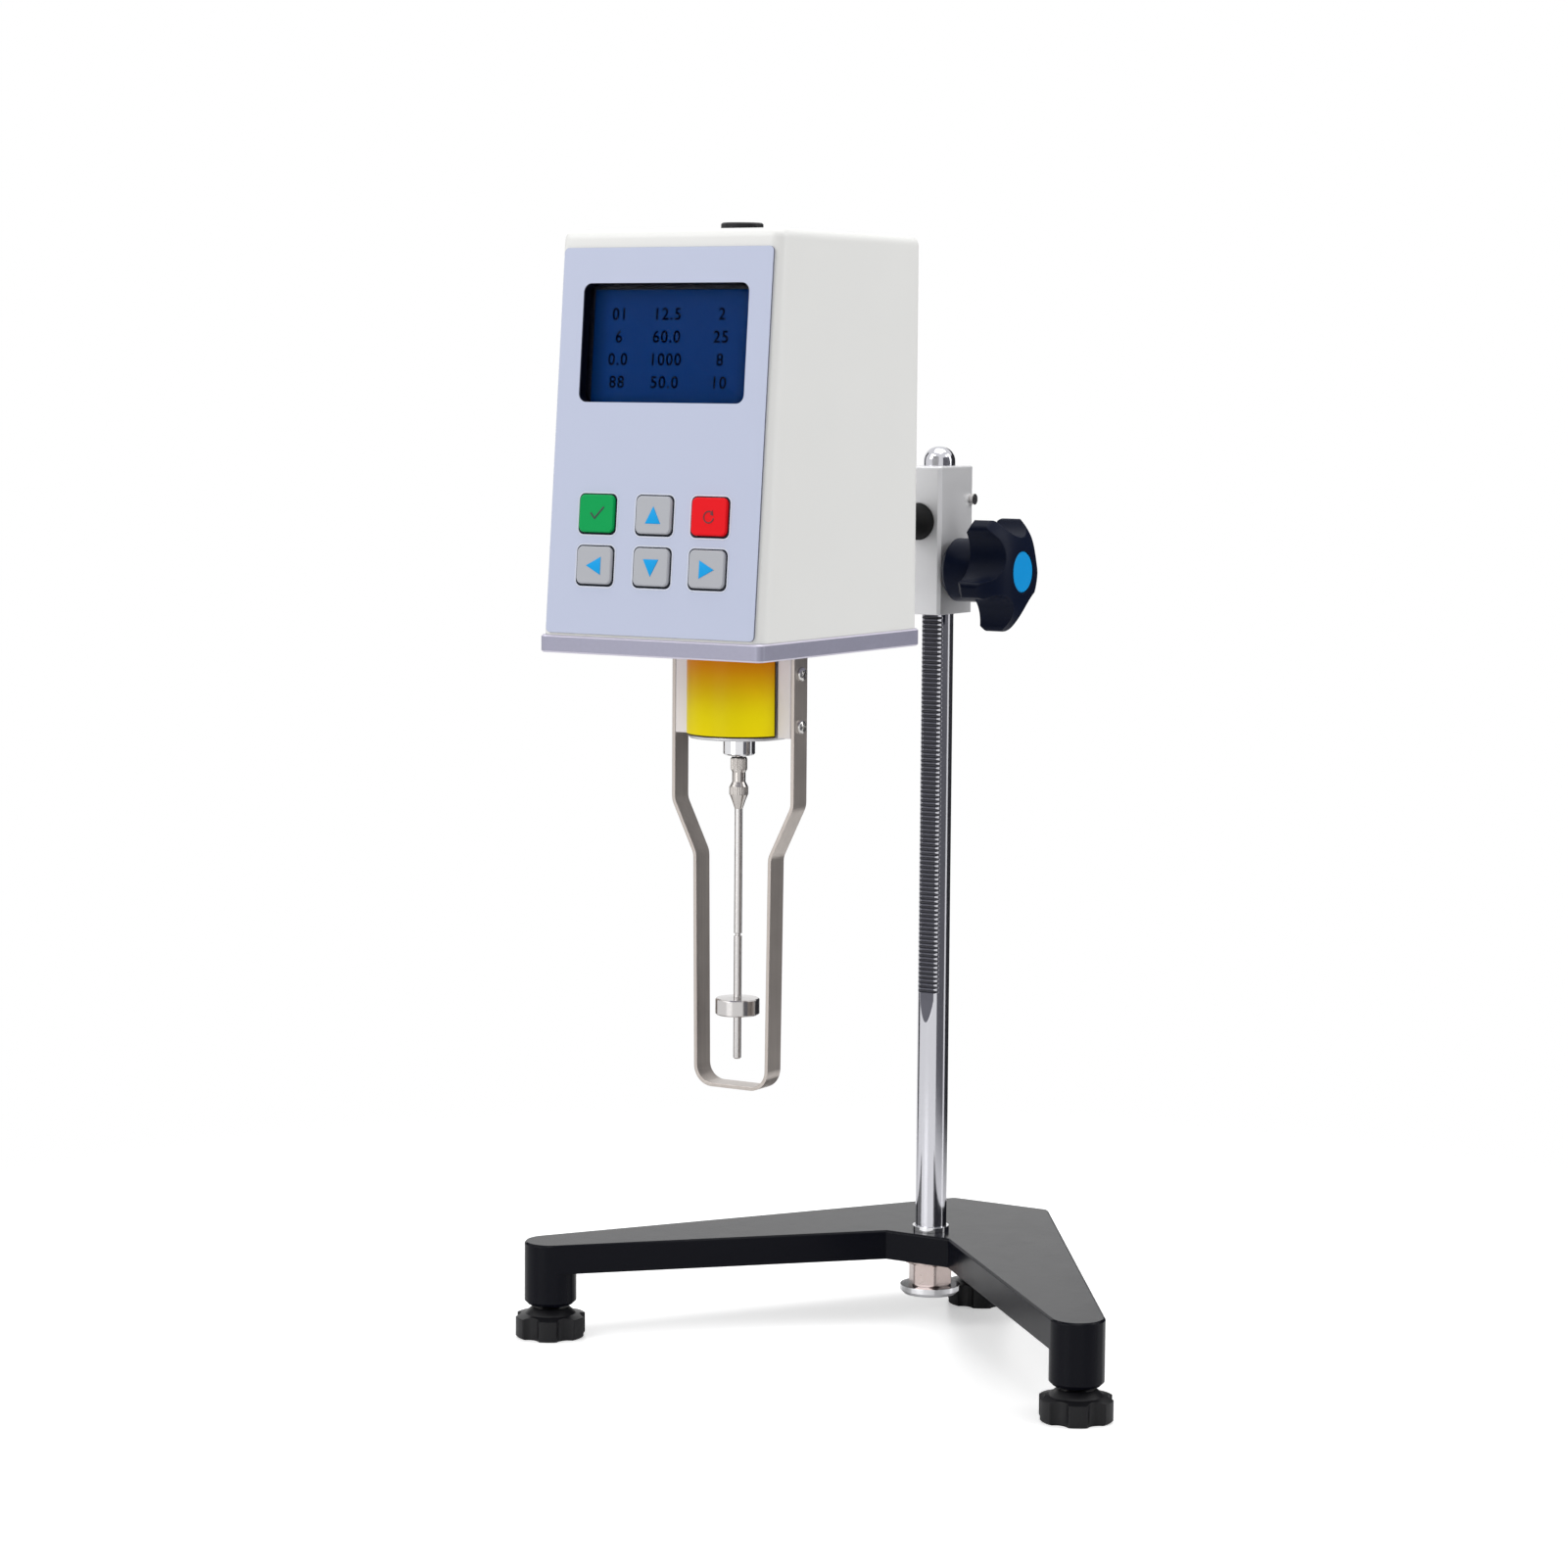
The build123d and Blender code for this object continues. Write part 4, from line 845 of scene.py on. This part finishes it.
@dataclass
class Stand(Assembly):
    """Base, levelling feet and the rack column with its nut underneath."""

    finishes = {
        Palette.GLOSS_BLACK: ("base_casting",), Palette.CHROME: ("column_seat_ring", "column_end_cap"),
        Palette.NUT: ("column_nut", "column_washer"),
        Palette.BLACK_PLASTIC: ("foot_left", "foot_right", "foot_rear")}

    column_radius: float = 7.2 * MM

    def dress(self) -> None:
        """Finishes the base, the column and its fastenings."""
        super().dress()
        middle = self.centre("column")
        rack = RackSteel("column_rack_chrome", (0.60, 0.60, 0.64), roughness=0.1, metallic=1.0,
                         grain_size=0.003, grain_depth=0.000003, edge=0.0002,
                         axis_y=middle.y, radius=self.column_radius)
        self.clad(rack, "column")


@dataclass
class HeightDrive(Assembly):
    """Clamp block on the column, its pinion and the star knob."""

    finishes = {
        Palette.BLOCK: ("clamp_block",), Palette.SCREW: ("tension_screw",),
        Palette.DARK_STEEL: ("pinion_shaft", "rear_bracket"), Palette.BRONZE: ("shaft_bushes",),
        Palette.KNOB_BLACK: ("height_knob",), Palette.CAP_BLUE: ("knob_cap",),
        Palette.MATT_BLACK: ("mounting_rod",)}


class KeyMark(Enum):
    """What is printed on a key."""

    TICK = "tick"
    LOOP = "loop"
    UP = 0
    LEFT = 90
    DOWN = 180
    RIGHT = 270


@dataclass
class Key:
    """One key of the keypad."""

    node: str
    mark: KeyMark
    cap: Finish
    ink: Finish
    size: float = 7.4 * MM
    relief: float = 0.12 * MM
    line: float = 0.55 * MM
    loop_share: float = 0.62
    loop_turn: Span = (60, 290)
    arrow_half: float = 1.5
    arrow_lead: float = 0.8

    def outline(self) -> list[Point]:
        """The mark's outline round the key's middle."""
        half = self.size / 2
        if self.mark is KeyMark.TICK:
            low, reach, pen = -0.62 * half, 1.05 * half, self.line
            return [(-0.8 * half, 0.05 * half), (-0.8 * half + pen, 0.05 * half + pen),
                    (-0.2 * half, low + 2 * pen), (reach - pen, 0.72 * half + pen),
                    (reach, 0.72 * half), (-0.2 * half, low)][::-1]
        turn = math.radians(self.mark.value)
        corners = ((0, half), (-half, -0.9 * half), (half, -0.9 * half))
        return [(x * math.cos(turn) - y * math.sin(turn), x * math.sin(turn) + y * math.cos(turn))
                for x, y in corners]

    def form(self) -> Form:
        """Builds the mark, a little proud of the cap."""
        if self.mark is not KeyMark.LOOP:
            return Form.prism(self.outline(), -self.relief / 2, self.relief, self.relief / 3)
        middle = self.loop_share * self.size / 2
        far, near = middle + self.line / 2, middle - self.line / 2
        start, sweep = self.loop_turn
        turns = [math.radians(start + sweep * k / 24) for k in range(25)]
        arc = [polar(far, t) for t in turns] + [polar(near, t) for t in reversed(turns)]
        tip, head = turns[0], self.arrow_half * self.line
        point = [polar(far + head, tip), polar(near - head, tip),
                 polar((far + near) / 2, tip - self.arrow_lead)]
        return Form.prism(arc, -self.relief / 2, self.relief).joined(
            [Form.prism(point[::-1], -self.relief / 2, self.relief)])


@dataclass
class FrontPanel(Assembly):
    """The leaning front with its panel, display and keys."""

    finishes = {
        Palette.PANEL: ("front_panel",), Palette.BEZEL: ("display_bezel",),
        Palette.PANE: ("display_glass",), Palette.BOARD: ("keypad_board",),
        Palette.DARK_STEEL: ("key_switches",)}

    lean: float = math.radians(5)
    halo_width: float = 0.9 * MM
    halo_rise: float = 0.05 * MM
    key_width: float = 16.9 * MM
    key_height: float = 15.3 * MM
    key_radius: float = 2.5 * MM
    panel_thickness: float = 0.8 * MM
    key_gap: float = 0.45 * MM
    # sizes of the dark rings painted as shade in the key gaps
    gap_shade_slack: float = 0.08 * MM
    gap_shade_depth: float = 0.4 * MM
    gap_shade_lip: float = 0.25 * MM
    gap_shade_rise: float = 0.02 * MM
    field_width: float = 76.6 * MM
    field_low: float = 95.4 * MM
    field_high: float = 141.4 * MM
    module_play: float = 2 * MM
    module_border: float = 8 * MM
    module_corner: float = 1.5 * MM
    frame_depth: float = 1.2 * MM
    module_bevel: float = 0.2 * MM
    module_gap: float = 0.3 * MM
    tray_depth: float = 5 * MM
    tray_gap: float = 0.05 * MM
    field_corner: float = 0.4 * MM
    film_drop: float = 0.5 * MM
    film_bevel: float = 0.05 * MM
    print_rise: float = 0.04 * MM
    key_rise: float = 1.3 * MM
    row_height: float = 4.6 * MM
    font_share: float = 1.5
    font_weight: float = 0.12 * MM
    font_spacing: float = 1.15
    row_ups: tuple[float, ...] = (131.6 * MM, 122.4 * MM, 113.2 * MM, 104.0 * MM)
    columns: tuple[float, ...] = (-26.0 * MM, -3.0 * MM, 23.0 * MM)
    rows: tuple[tuple[str, ...], ...] = (("01", "12.5", "2"), ("6", "60.0", "25"), ("0.0", "1000", "8"),
                                         ("88", "50.0", "10"))
    keys: tuple[Key, ...] = field(default_factory=lambda: (
        Key("key_confirm", KeyMark.TICK, Palette.GREEN_KEY, Palette.DARK_MARK),
        Key("key_up", KeyMark.UP, Palette.GREY_KEY, Palette.ARROW),
        Key("key_reset", KeyMark.LOOP, Palette.RED_KEY, Palette.RED_MARK),
        Key("key_left", KeyMark.LEFT, Palette.GREY_KEY, Palette.ARROW),
        Key("key_down", KeyMark.DOWN, Palette.GREY_KEY, Palette.ARROW),
        Key("key_right", KeyMark.RIGHT, Palette.GREY_KEY, Palette.ARROW)))

    def out(self) -> Vector:
        """The way the leaning face looks."""
        return Vector((0, -math.cos(self.lean), math.sin(self.lean)))

    def up(self) -> Vector:
        """The way up the leaning face."""
        return Vector((0, math.sin(self.lean), math.cos(self.lean)))

    def foot(self) -> Vector:
        """The middle of the leaning face's lower edge."""
        low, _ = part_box("housing_shell")
        return Vector((0, low.y, low.z))

    def spot(self, across: float, up: float, proud: float) -> Matrix:
        """A place on the leaning face, across and up from its lower edge, its Z out of the face."""
        point = self.foot() + Vector((across, 0, 0)) + self.up() * up + self.out() * proud
        return seat(point, self.out(), self.up())

    def key_spot(self, node: str, proud: float) -> Matrix:
        """The middle of a key's face, at a height above the housing's front."""
        middle = self.centre(node) - self.foot()
        return self.spot(middle.x, middle.dot(self.up()), proud)

    def build(self) -> None:
        """Makes the key marks, the halos, the dark rings of painted shade in the key gaps and the display's
        inside.
        """
        for key in self.keys:
            place = self.key_spot(key.node, self.key_rise + self.panel_thickness)
            mark = key.form().set_in(place)
            Piece(f"{key.node}_mark", mark, key.ink, key.node, "key_grey").place()
        spots = [self.key_spot(key.node, self.panel_thickness) for key in self.keys]
        gap, halo, lip = 2 * self.key_gap, 2 * self.halo_width, 2 * self.gap_shade_lip
        outer = rounded_outline(self.key_width + gap + halo, self.key_height + gap + halo,
                                self.key_radius + self.halo_width)
        inner = rounded_outline(self.key_width + gap + lip, self.key_height + gap + lip, self.key_radius)
        frame = Form.prism(outer, 0, self.halo_rise, hole=inner)
        Piece("key_halos", frame.copies(spots), Palette.HALO, "head", "panel_lilac").place()
        # painted shade: a dark ring fills each key's gap, where shade falls
        slack = 2 * self.gap_shade_slack
        bore = rounded_outline(self.key_width + slack, self.key_height + slack, self.key_radius)
        gap_ring = Form.prism(inner, -self.gap_shade_depth, self.gap_shade_rise, hole=bore)
        Piece("key_gap_shading", gap_ring.copies(spots), Palette.GAP_SHADE, "head", "black_plastic").place()
        self.build_display()

    def build_display(self) -> None:
        """Makes the display module with its frame, lit field and digits."""
        low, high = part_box("lcd_module")
        front = (Vector((0, low.y, low.z)) - self.foot()).dot(self.out()) - self.module_gap
        middle = (self.field_low + self.field_high) / 2
        height = self.field_high - self.field_low
        width, tall = high.x - low.x - self.module_play, height + self.module_border
        steps = 4
        rim = rounded_outline(width, tall, self.module_corner, steps)
        opening = rounded_outline(self.field_width, height, self.field_corner, steps)
        frame = Form.prism(rim, -self.frame_depth, 0, self.module_bevel, opening)
        tray = Form.prism(rim, -self.tray_depth, -self.frame_depth - self.tray_gap, self.module_bevel)
        place = self.spot(0, middle, front)
        Piece("display_module", frame.joined([tray]).set_in(place), Palette.BEZEL, "head", "black_plastic",
              ("lcd_module",)).place()
        film = Form.prism(opening, -self.frame_depth, -self.film_drop, self.film_bevel)
        Piece("display_field", film.set_in(place), Palette.FIELD, "head", "screen_blue").place()
        lines = [self.digits(text, start, up - middle) for row, up in zip(self.rows, self.row_ups)
                 for text, start in zip(row, self.columns)]
        shift = Matrix.Translation((0, 0, -self.film_drop))
        digits = Form().joined(lines).set_in(place @ shift)
        Piece("display_digits", digits, Palette.DIGITS, "head", "screen_blue").place()

    def digits(self, text: str, start: float, up: float) -> Form:
        """One plain number as a thin raised print.

        Args:
            text: The numbers.
            start: How far to the right of the middle it is centred.
            up: How far above the middle its own middle is.

        Returns:
            The number.
        """
        curve = bpy.data.curves.new("row", "FONT")
        curve.body, curve.size, curve.align_x = text, self.row_height * self.font_share, "CENTER"
        curve.extrude, curve.offset = self.print_rise, self.font_weight
        curve.space_character = self.font_spacing
        thing = linked("row", curve)
        bpy.context.view_layer.update()
        mesh = bpy.data.meshes.new_from_object(thing.evaluated_get(bpy.context.evaluated_depsgraph_get()))
        row = Form()
        row.mesh.from_mesh(mesh)
        bpy.data.objects.remove(thing)
        return row.set_in(Matrix.Translation((start, up - self.row_height / 2, 0)))

    def dress(self) -> None:
        """Finishes the panel, the display and the keys."""
        super().dress()
        for key in self.keys:
            self.clad(key.cap, key.node)


@dataclass
class Housing(Assembly):
    """The head's case, bottom plate and the level on top."""

    finishes = {
        Palette.HOUSING: ("housing_shell",), Palette.PLATE: ("bottom_plate",),
        Palette.BLACK_PLASTIC: ("level_ring",), Palette.FLUID: ("level_vial",),
        Palette.BLOCK: ("motor_deck", "deck_pillars", "optical_sensors"),
        Palette.BOARD: ("main_board",),
        Palette.DARK_STEEL: ("motor", "transformer", "drive_disc", "motor_shaft"),
        Palette.SCREW: ("housing_screws", "flange_screws", "torsion_spring", "board_feet",
                        "sensor_disc")}

    bubble_radius: float = 2.6 * MM
    bubble_flatness: float = 0.35
    circle_radius: float = 3.4 * MM
    circle_line: float = 0.35 * MM
    circle_rise: float = 0.05 * MM
    bubble_aside: float = 0.4 * MM
    bubble_sink: float = 1.2 * MM

    def build(self) -> None:
        """Makes the level's bubble and its circle."""
        low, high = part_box("level_vial")
        middle = (low + high) / 2
        sag = self.bubble_radius
        turns = [math.radians(15 * k - 90) for k in range(13)]
        lens = [(sag * math.cos(t), self.bubble_flatness * sag * math.sin(t)) for t in turns]
        place = Matrix.Translation((middle.x + self.bubble_aside, middle.y, high.z - self.bubble_sink))
        bubble = Form.turned([(0, lens[0][1]), *lens[1:-1], (0, lens[-1][1])], 32).set_in(place)
        Piece("level_bubble", bubble, Palette.BUBBLE, "head", "glass_clear").place()
        far, near = self.circle_radius + self.circle_line / 2, self.circle_radius - self.circle_line / 2
        rise = self.circle_rise
        ring = Form.turned([(near, 0), (far, 0), (far, rise), (near, rise), (near, 0)], 48)
        ring.set_in(Matrix.Translation((middle.x, middle.y, high.z)))
        Piece("level_circle", ring, Palette.LEVEL_LINE, "head", "black_plastic").place()


@dataclass
class RearFittings(Assembly):
    """The mains inlet and the rocker switch on the back."""

    pin_places: tuple[Point, ...] = ((-7.0 * MM, -1.5 * MM), (0.0, 2.5 * MM), (7.0 * MM, -1.5 * MM))
    mark_rise: float = 5.2 * MM

    def dress(self) -> None:
        """Finishes the inlet and the switch."""
        inlet, rocker = self.centre("power_inlet"), self.centre("switch_rocker")
        pins = tuple((inlet.x + x, inlet.z + z) for x, z in self.pin_places)
        self.clad(PinnedSocket("inlet_black", srgb(20, 20, 22), roughness=0.42, pins=pins), "power_inlet")
        marked = MarkedRocker("rocker_black", srgb(18, 18, 20), roughness=0.3, middle_x=rocker.x,
                              on_z=rocker.z + self.mark_rise, off_z=rocker.z - self.mark_rise)
        self.clad(marked, "switch_rocker")
        self.clad(Palette.BLACK_PLASTIC, "switch_frame")


@dataclass
class MeasuringEnd(Assembly):
    """Pivot hub, guard and spindle under the head."""

    finishes = {
        Palette.HUB: ("pivot_hub",), Palette.CHROME: ("hub_collar",), Palette.BRONZE: ("shaft_bearing",),
        Palette.BRACKET: ("guard_bracket_left", "guard_bracket_right"), Palette.GUARD: ("guard_frame",),
        Palette.COUPLING: ("spindle_coupling", "spindle_shaft"), Palette.SPINDLE: ("spindle",)}

    screw_width: float = 5.8 * MM
    screw_height: float = 1.9 * MM
    screw_spacing: float = 22.0 * MM
    screw_turn: Span = (20, 35)
    knurls: tuple[Triple, ...] = ((3.4 * MM, 5.3 * MM, 0.8 * MM), (3.4 * MM * 1.14, 15.9 * MM, 12.6 * MM))
    knurl_count: int = 30
    knurl_depth: float = 0.16 * MM

    def build(self) -> None:
        """Makes the guard's cross-head screws and the coupling's knurls."""
        low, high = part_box("bracket_screws")
        middle = (low + high) / 2
        head = PanHead(self.screw_width, self.screw_height).form()
        places = []
        turn, turn_step = self.screw_turn
        for side in (-1, 1):
            outer = high.x if side > 0 else low.x
            for step in (-0.5, 0.5):
                point = Vector((outer - side * self.screw_height, middle.y,
                                middle.z + step * self.screw_spacing))
                spin = Matrix.Rotation(math.radians(turn + turn_step * step * side), 4, "Z")
                places.append(seat(point, Vector((side, 0, 0))) @ spin)
        Piece("guard_screw_heads", head.copies(places), Palette.SCREW, "head", "chrome_steel",
              ("bracket_screws",)).place()
        low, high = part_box("spindle_coupling")
        middle = (low + high) / 2
        rings = [self.knurl(radius, high.z - start, high.z - end) for radius, start, end in self.knurls]
        knurls = Form().joined(rings).set_in(Matrix.Translation((middle.x, middle.y, 0)))
        Piece("coupling_knurls", knurls, Palette.COUPLING, "spindle_train", "guard_steel").place()

    def knurl(self, radius: float, low: float, high: float) -> Form:
        """A ring of fine upright ridges.

        Args:
            radius: The radius of the bar it is rolled on.
            low: Where it starts.
            high: Where it ends.

        Returns:
            The ring.
        """
        steps = 4 * self.knurl_count
        outer, inner = [], []
        for k in range(steps):
            turn = math.tau * k / steps
            far = radius + (self.knurl_depth if k % 4 in (1, 2) else 0.01 * MM)
            outer.append(polar(far, turn))
            inner.append(polar(0.9 * radius, turn))
        return Form.prism(outer, low, high, hole=inner)

    def dress(self) -> None:
        """Finishes the hub, the guard and the spindle."""
        super().dress()
        low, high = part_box("hub_band")
        hub = self.centre("pivot_hub")
        band = BandPaint("hub_band_yellow", srgb(255, 232, 4), roughness=0.36, specular=0.1, wander=0.02,
                         axis_y=hub.y, low=low.z, high=high.z)
        self.clad(band, "hub_band")


# ---- studio
@dataclass
class Studio:
    """The floor, the white surround, the lamps and the camera."""

    eye: Triple = (0.86448, -1.47819, 0.43788)
    yaw: float = math.radians(31.154)
    pitch: float = math.radians(5.986)
    roll: float = math.radians(0.423)
    focal_pixels: float = 4008.8
    image_pixels: float = 1601
    floor_radius: float = 1.6
    floor_clear: float = 0.30
    floor_gone: float = 0.62
    sky: float = 0.5
    floor_drop: float = 0.02 * MM
    floor_glow: float = 0.4

    def camera(self) -> None:
        """Sets the camera up."""
        data = bpy.data.cameras.new("camera")
        data.sensor_width = 36.0
        data.lens = 36.0 * self.focal_pixels / self.image_pixels
        data.clip_end = 50
        level = math.cos(self.pitch)
        look = Vector((-math.sin(self.yaw) * level, math.cos(self.yaw) * level, -math.sin(self.pitch)))
        across = Vector((math.cos(self.yaw), math.sin(self.yaw), 0))
        up = across.cross(look)
        right = across * math.cos(self.roll) + up * math.sin(self.roll)
        over = up * math.cos(self.roll) - across * math.sin(self.roll)
        thing = linked("camera", data)
        turned = Matrix((right, over, -look)).transposed().to_4x4()
        thing.matrix_world = Matrix.Translation(self.eye) @ turned
        bpy.context.scene.camera = thing

    def surround(self) -> None:
        """Makes the world: white where it is seen, plain grey light elsewhere."""
        world = bpy.context.scene.world = bpy.data.worlds.new("surround")
        shader = Shader(world)
        path = shader.add("ShaderNodeLightPath").outputs
        seen = Signal(shader, path["Is Camera Ray"])
        for name in ("Is Glossy Ray", "Is Transmission Ray"):
            seen = seen.math("MAXIMUM", seen, path[name])
        level = shader.add("ShaderNodeMapRange", sockets={"Value": seen, "To Min": self.sky, "To Max": 1.0})
        back = shader.add("ShaderNodeBackground", sockets={
            "Color": (1, 1, 1), "Strength": level.outputs[0]})
        shader.add("ShaderNodeOutputWorld", sockets={"Surface": back.outputs[0]})

    def floor(self) -> None:
        """Makes the pale floor, which fades into the white surround away from the instrument."""
        thing = Form.turned([(0, 0), (self.floor_radius, 0)], 96).thing("floor")
        thing.location = (0, 0, -self.floor_drop)
        shader = Shader(bpy.data.materials.new("floor_pale"))
        far, _ = shader.round_axis(0, 0)
        seen = shader.add("ShaderNodeLightPath").outputs["Is Camera Ray"]
        body = shader.add("ShaderNodeBsdfPrincipled", sockets={
            "Base Color": (0.93, 0.93, 0.93, 1), "Roughness": 0.32, "Specular IOR Level": 0.5,
            "Emission Color": (1, 1, 1, 1), "Emission Strength": Signal(shader, seen) * self.floor_glow})
        gone = shader.add("ShaderNodeBsdfTransparent")
        fade = far.rise(self.floor_clear, self.floor_gone)
        mix = shader.add("ShaderNodeMixShader", sockets={0: fade, 1: body.outputs[0], 2: gone.outputs[0]})
        thing.data.materials.append(shader.finish(mix.outputs[0]))

    def lamp(self, name: str, place: Triple, aim: Triple, size: Span, power: float) -> None:
        """Adds a soft box.

        Args:
            name: The lamp's name.
            place: Where it stands.
            aim: What it looks at.
            size: Its width and height.
            power: Its power in watts.
        """
        data = bpy.data.lights.new(name, "AREA")
        data.shape, data.size, data.size_y, data.energy = "RECTANGLE", *size, power
        thing = linked(name, data)
        thing.location = place
        thing.rotation_euler = (Vector(aim) - Vector(place)).to_track_quat("-Z", "Y").to_euler()

    def flag(self, name: str, place: Triple, aim: Triple, size: Span, shade: Colour) -> None:
        """Adds a dark card that only reflections show, to draw the edges of bright metal.

        Args:
            name: The card's name.
            place: Where it stands.
            aim: What it looks at.
            size: Its width and height.
            shade: Its colour.
        """
        half_w, half_h = size[0] / 2, size[1] / 2
        card = Form()
        card.mesh.faces.new([card.mesh.verts.new((x * half_w, y * half_h, 0))
                             for x, y in ((-1, -1), (1, -1), (1, 1), (-1, 1))])
        thing = card.set_in(seat(Vector(place), Vector(aim) - Vector(place))).thing(name)
        thing.data.materials.append(Finish(f"{name}_cloth", shade, roughness=0.9).material())
        for kind in ("camera", "diffuse", "transmission", "shadow"):
            setattr(thing, f"visible_{kind}", False)

    def light(self) -> None:
        """Places the lamps and the dark cards."""
        middle = (0, -0.03, 0.28)
        self.lamp("key_softbox", (-0.9, -1.5, 1.5), middle, (1.3, 1.3), 18.5)
        self.lamp("side_softbox", (1.5, 0.5, 1.0), middle, (1.0, 1.4), 12.5)
        self.lamp("top_softbox", (0, 0.1, 1.7), (0, 0, 0.2), (1.2, 1.2), 9)
        self.lamp("low_softbox", (-0.3, -1.6, 0.25), (0, -0.085, 0.27), (0.8, 0.5), 2.2)
        self.flag("left_flag", (-1.1, 0.25, 0.3), middle, (0.35, 1.6), (0.015, 0.015, 0.02))
        self.flag("right_flag", (1.15, -0.05, 0.3), middle, (1.3, 1.6), (0.17, 0.17, 0.19))
        self.flag("back_flag", (0.35, 1.37, 0.3), middle, (2.0, 1.6), (0.02, 0.02, 0.025))

    def build(self) -> None:
        """Builds the whole studio."""
        bpy.context.scene.view_settings.view_transform = "Standard"
        self.camera()
        self.surround()
        self.floor()
        self.light()


def main() -> None:
    """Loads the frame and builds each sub-assembly."""
    logging.basicConfig(level=logging.INFO, format="%(message)s")
    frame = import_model()
    nodes = frame["nodes"]
    for kind in (Stand, HeightDrive, Housing, FrontPanel, RearFittings, MeasuringEnd):
        assembly = kind(nodes)
        assembly.dress()
        assembly.build()
    Studio().build()


if __name__ == "__main__":
    main()
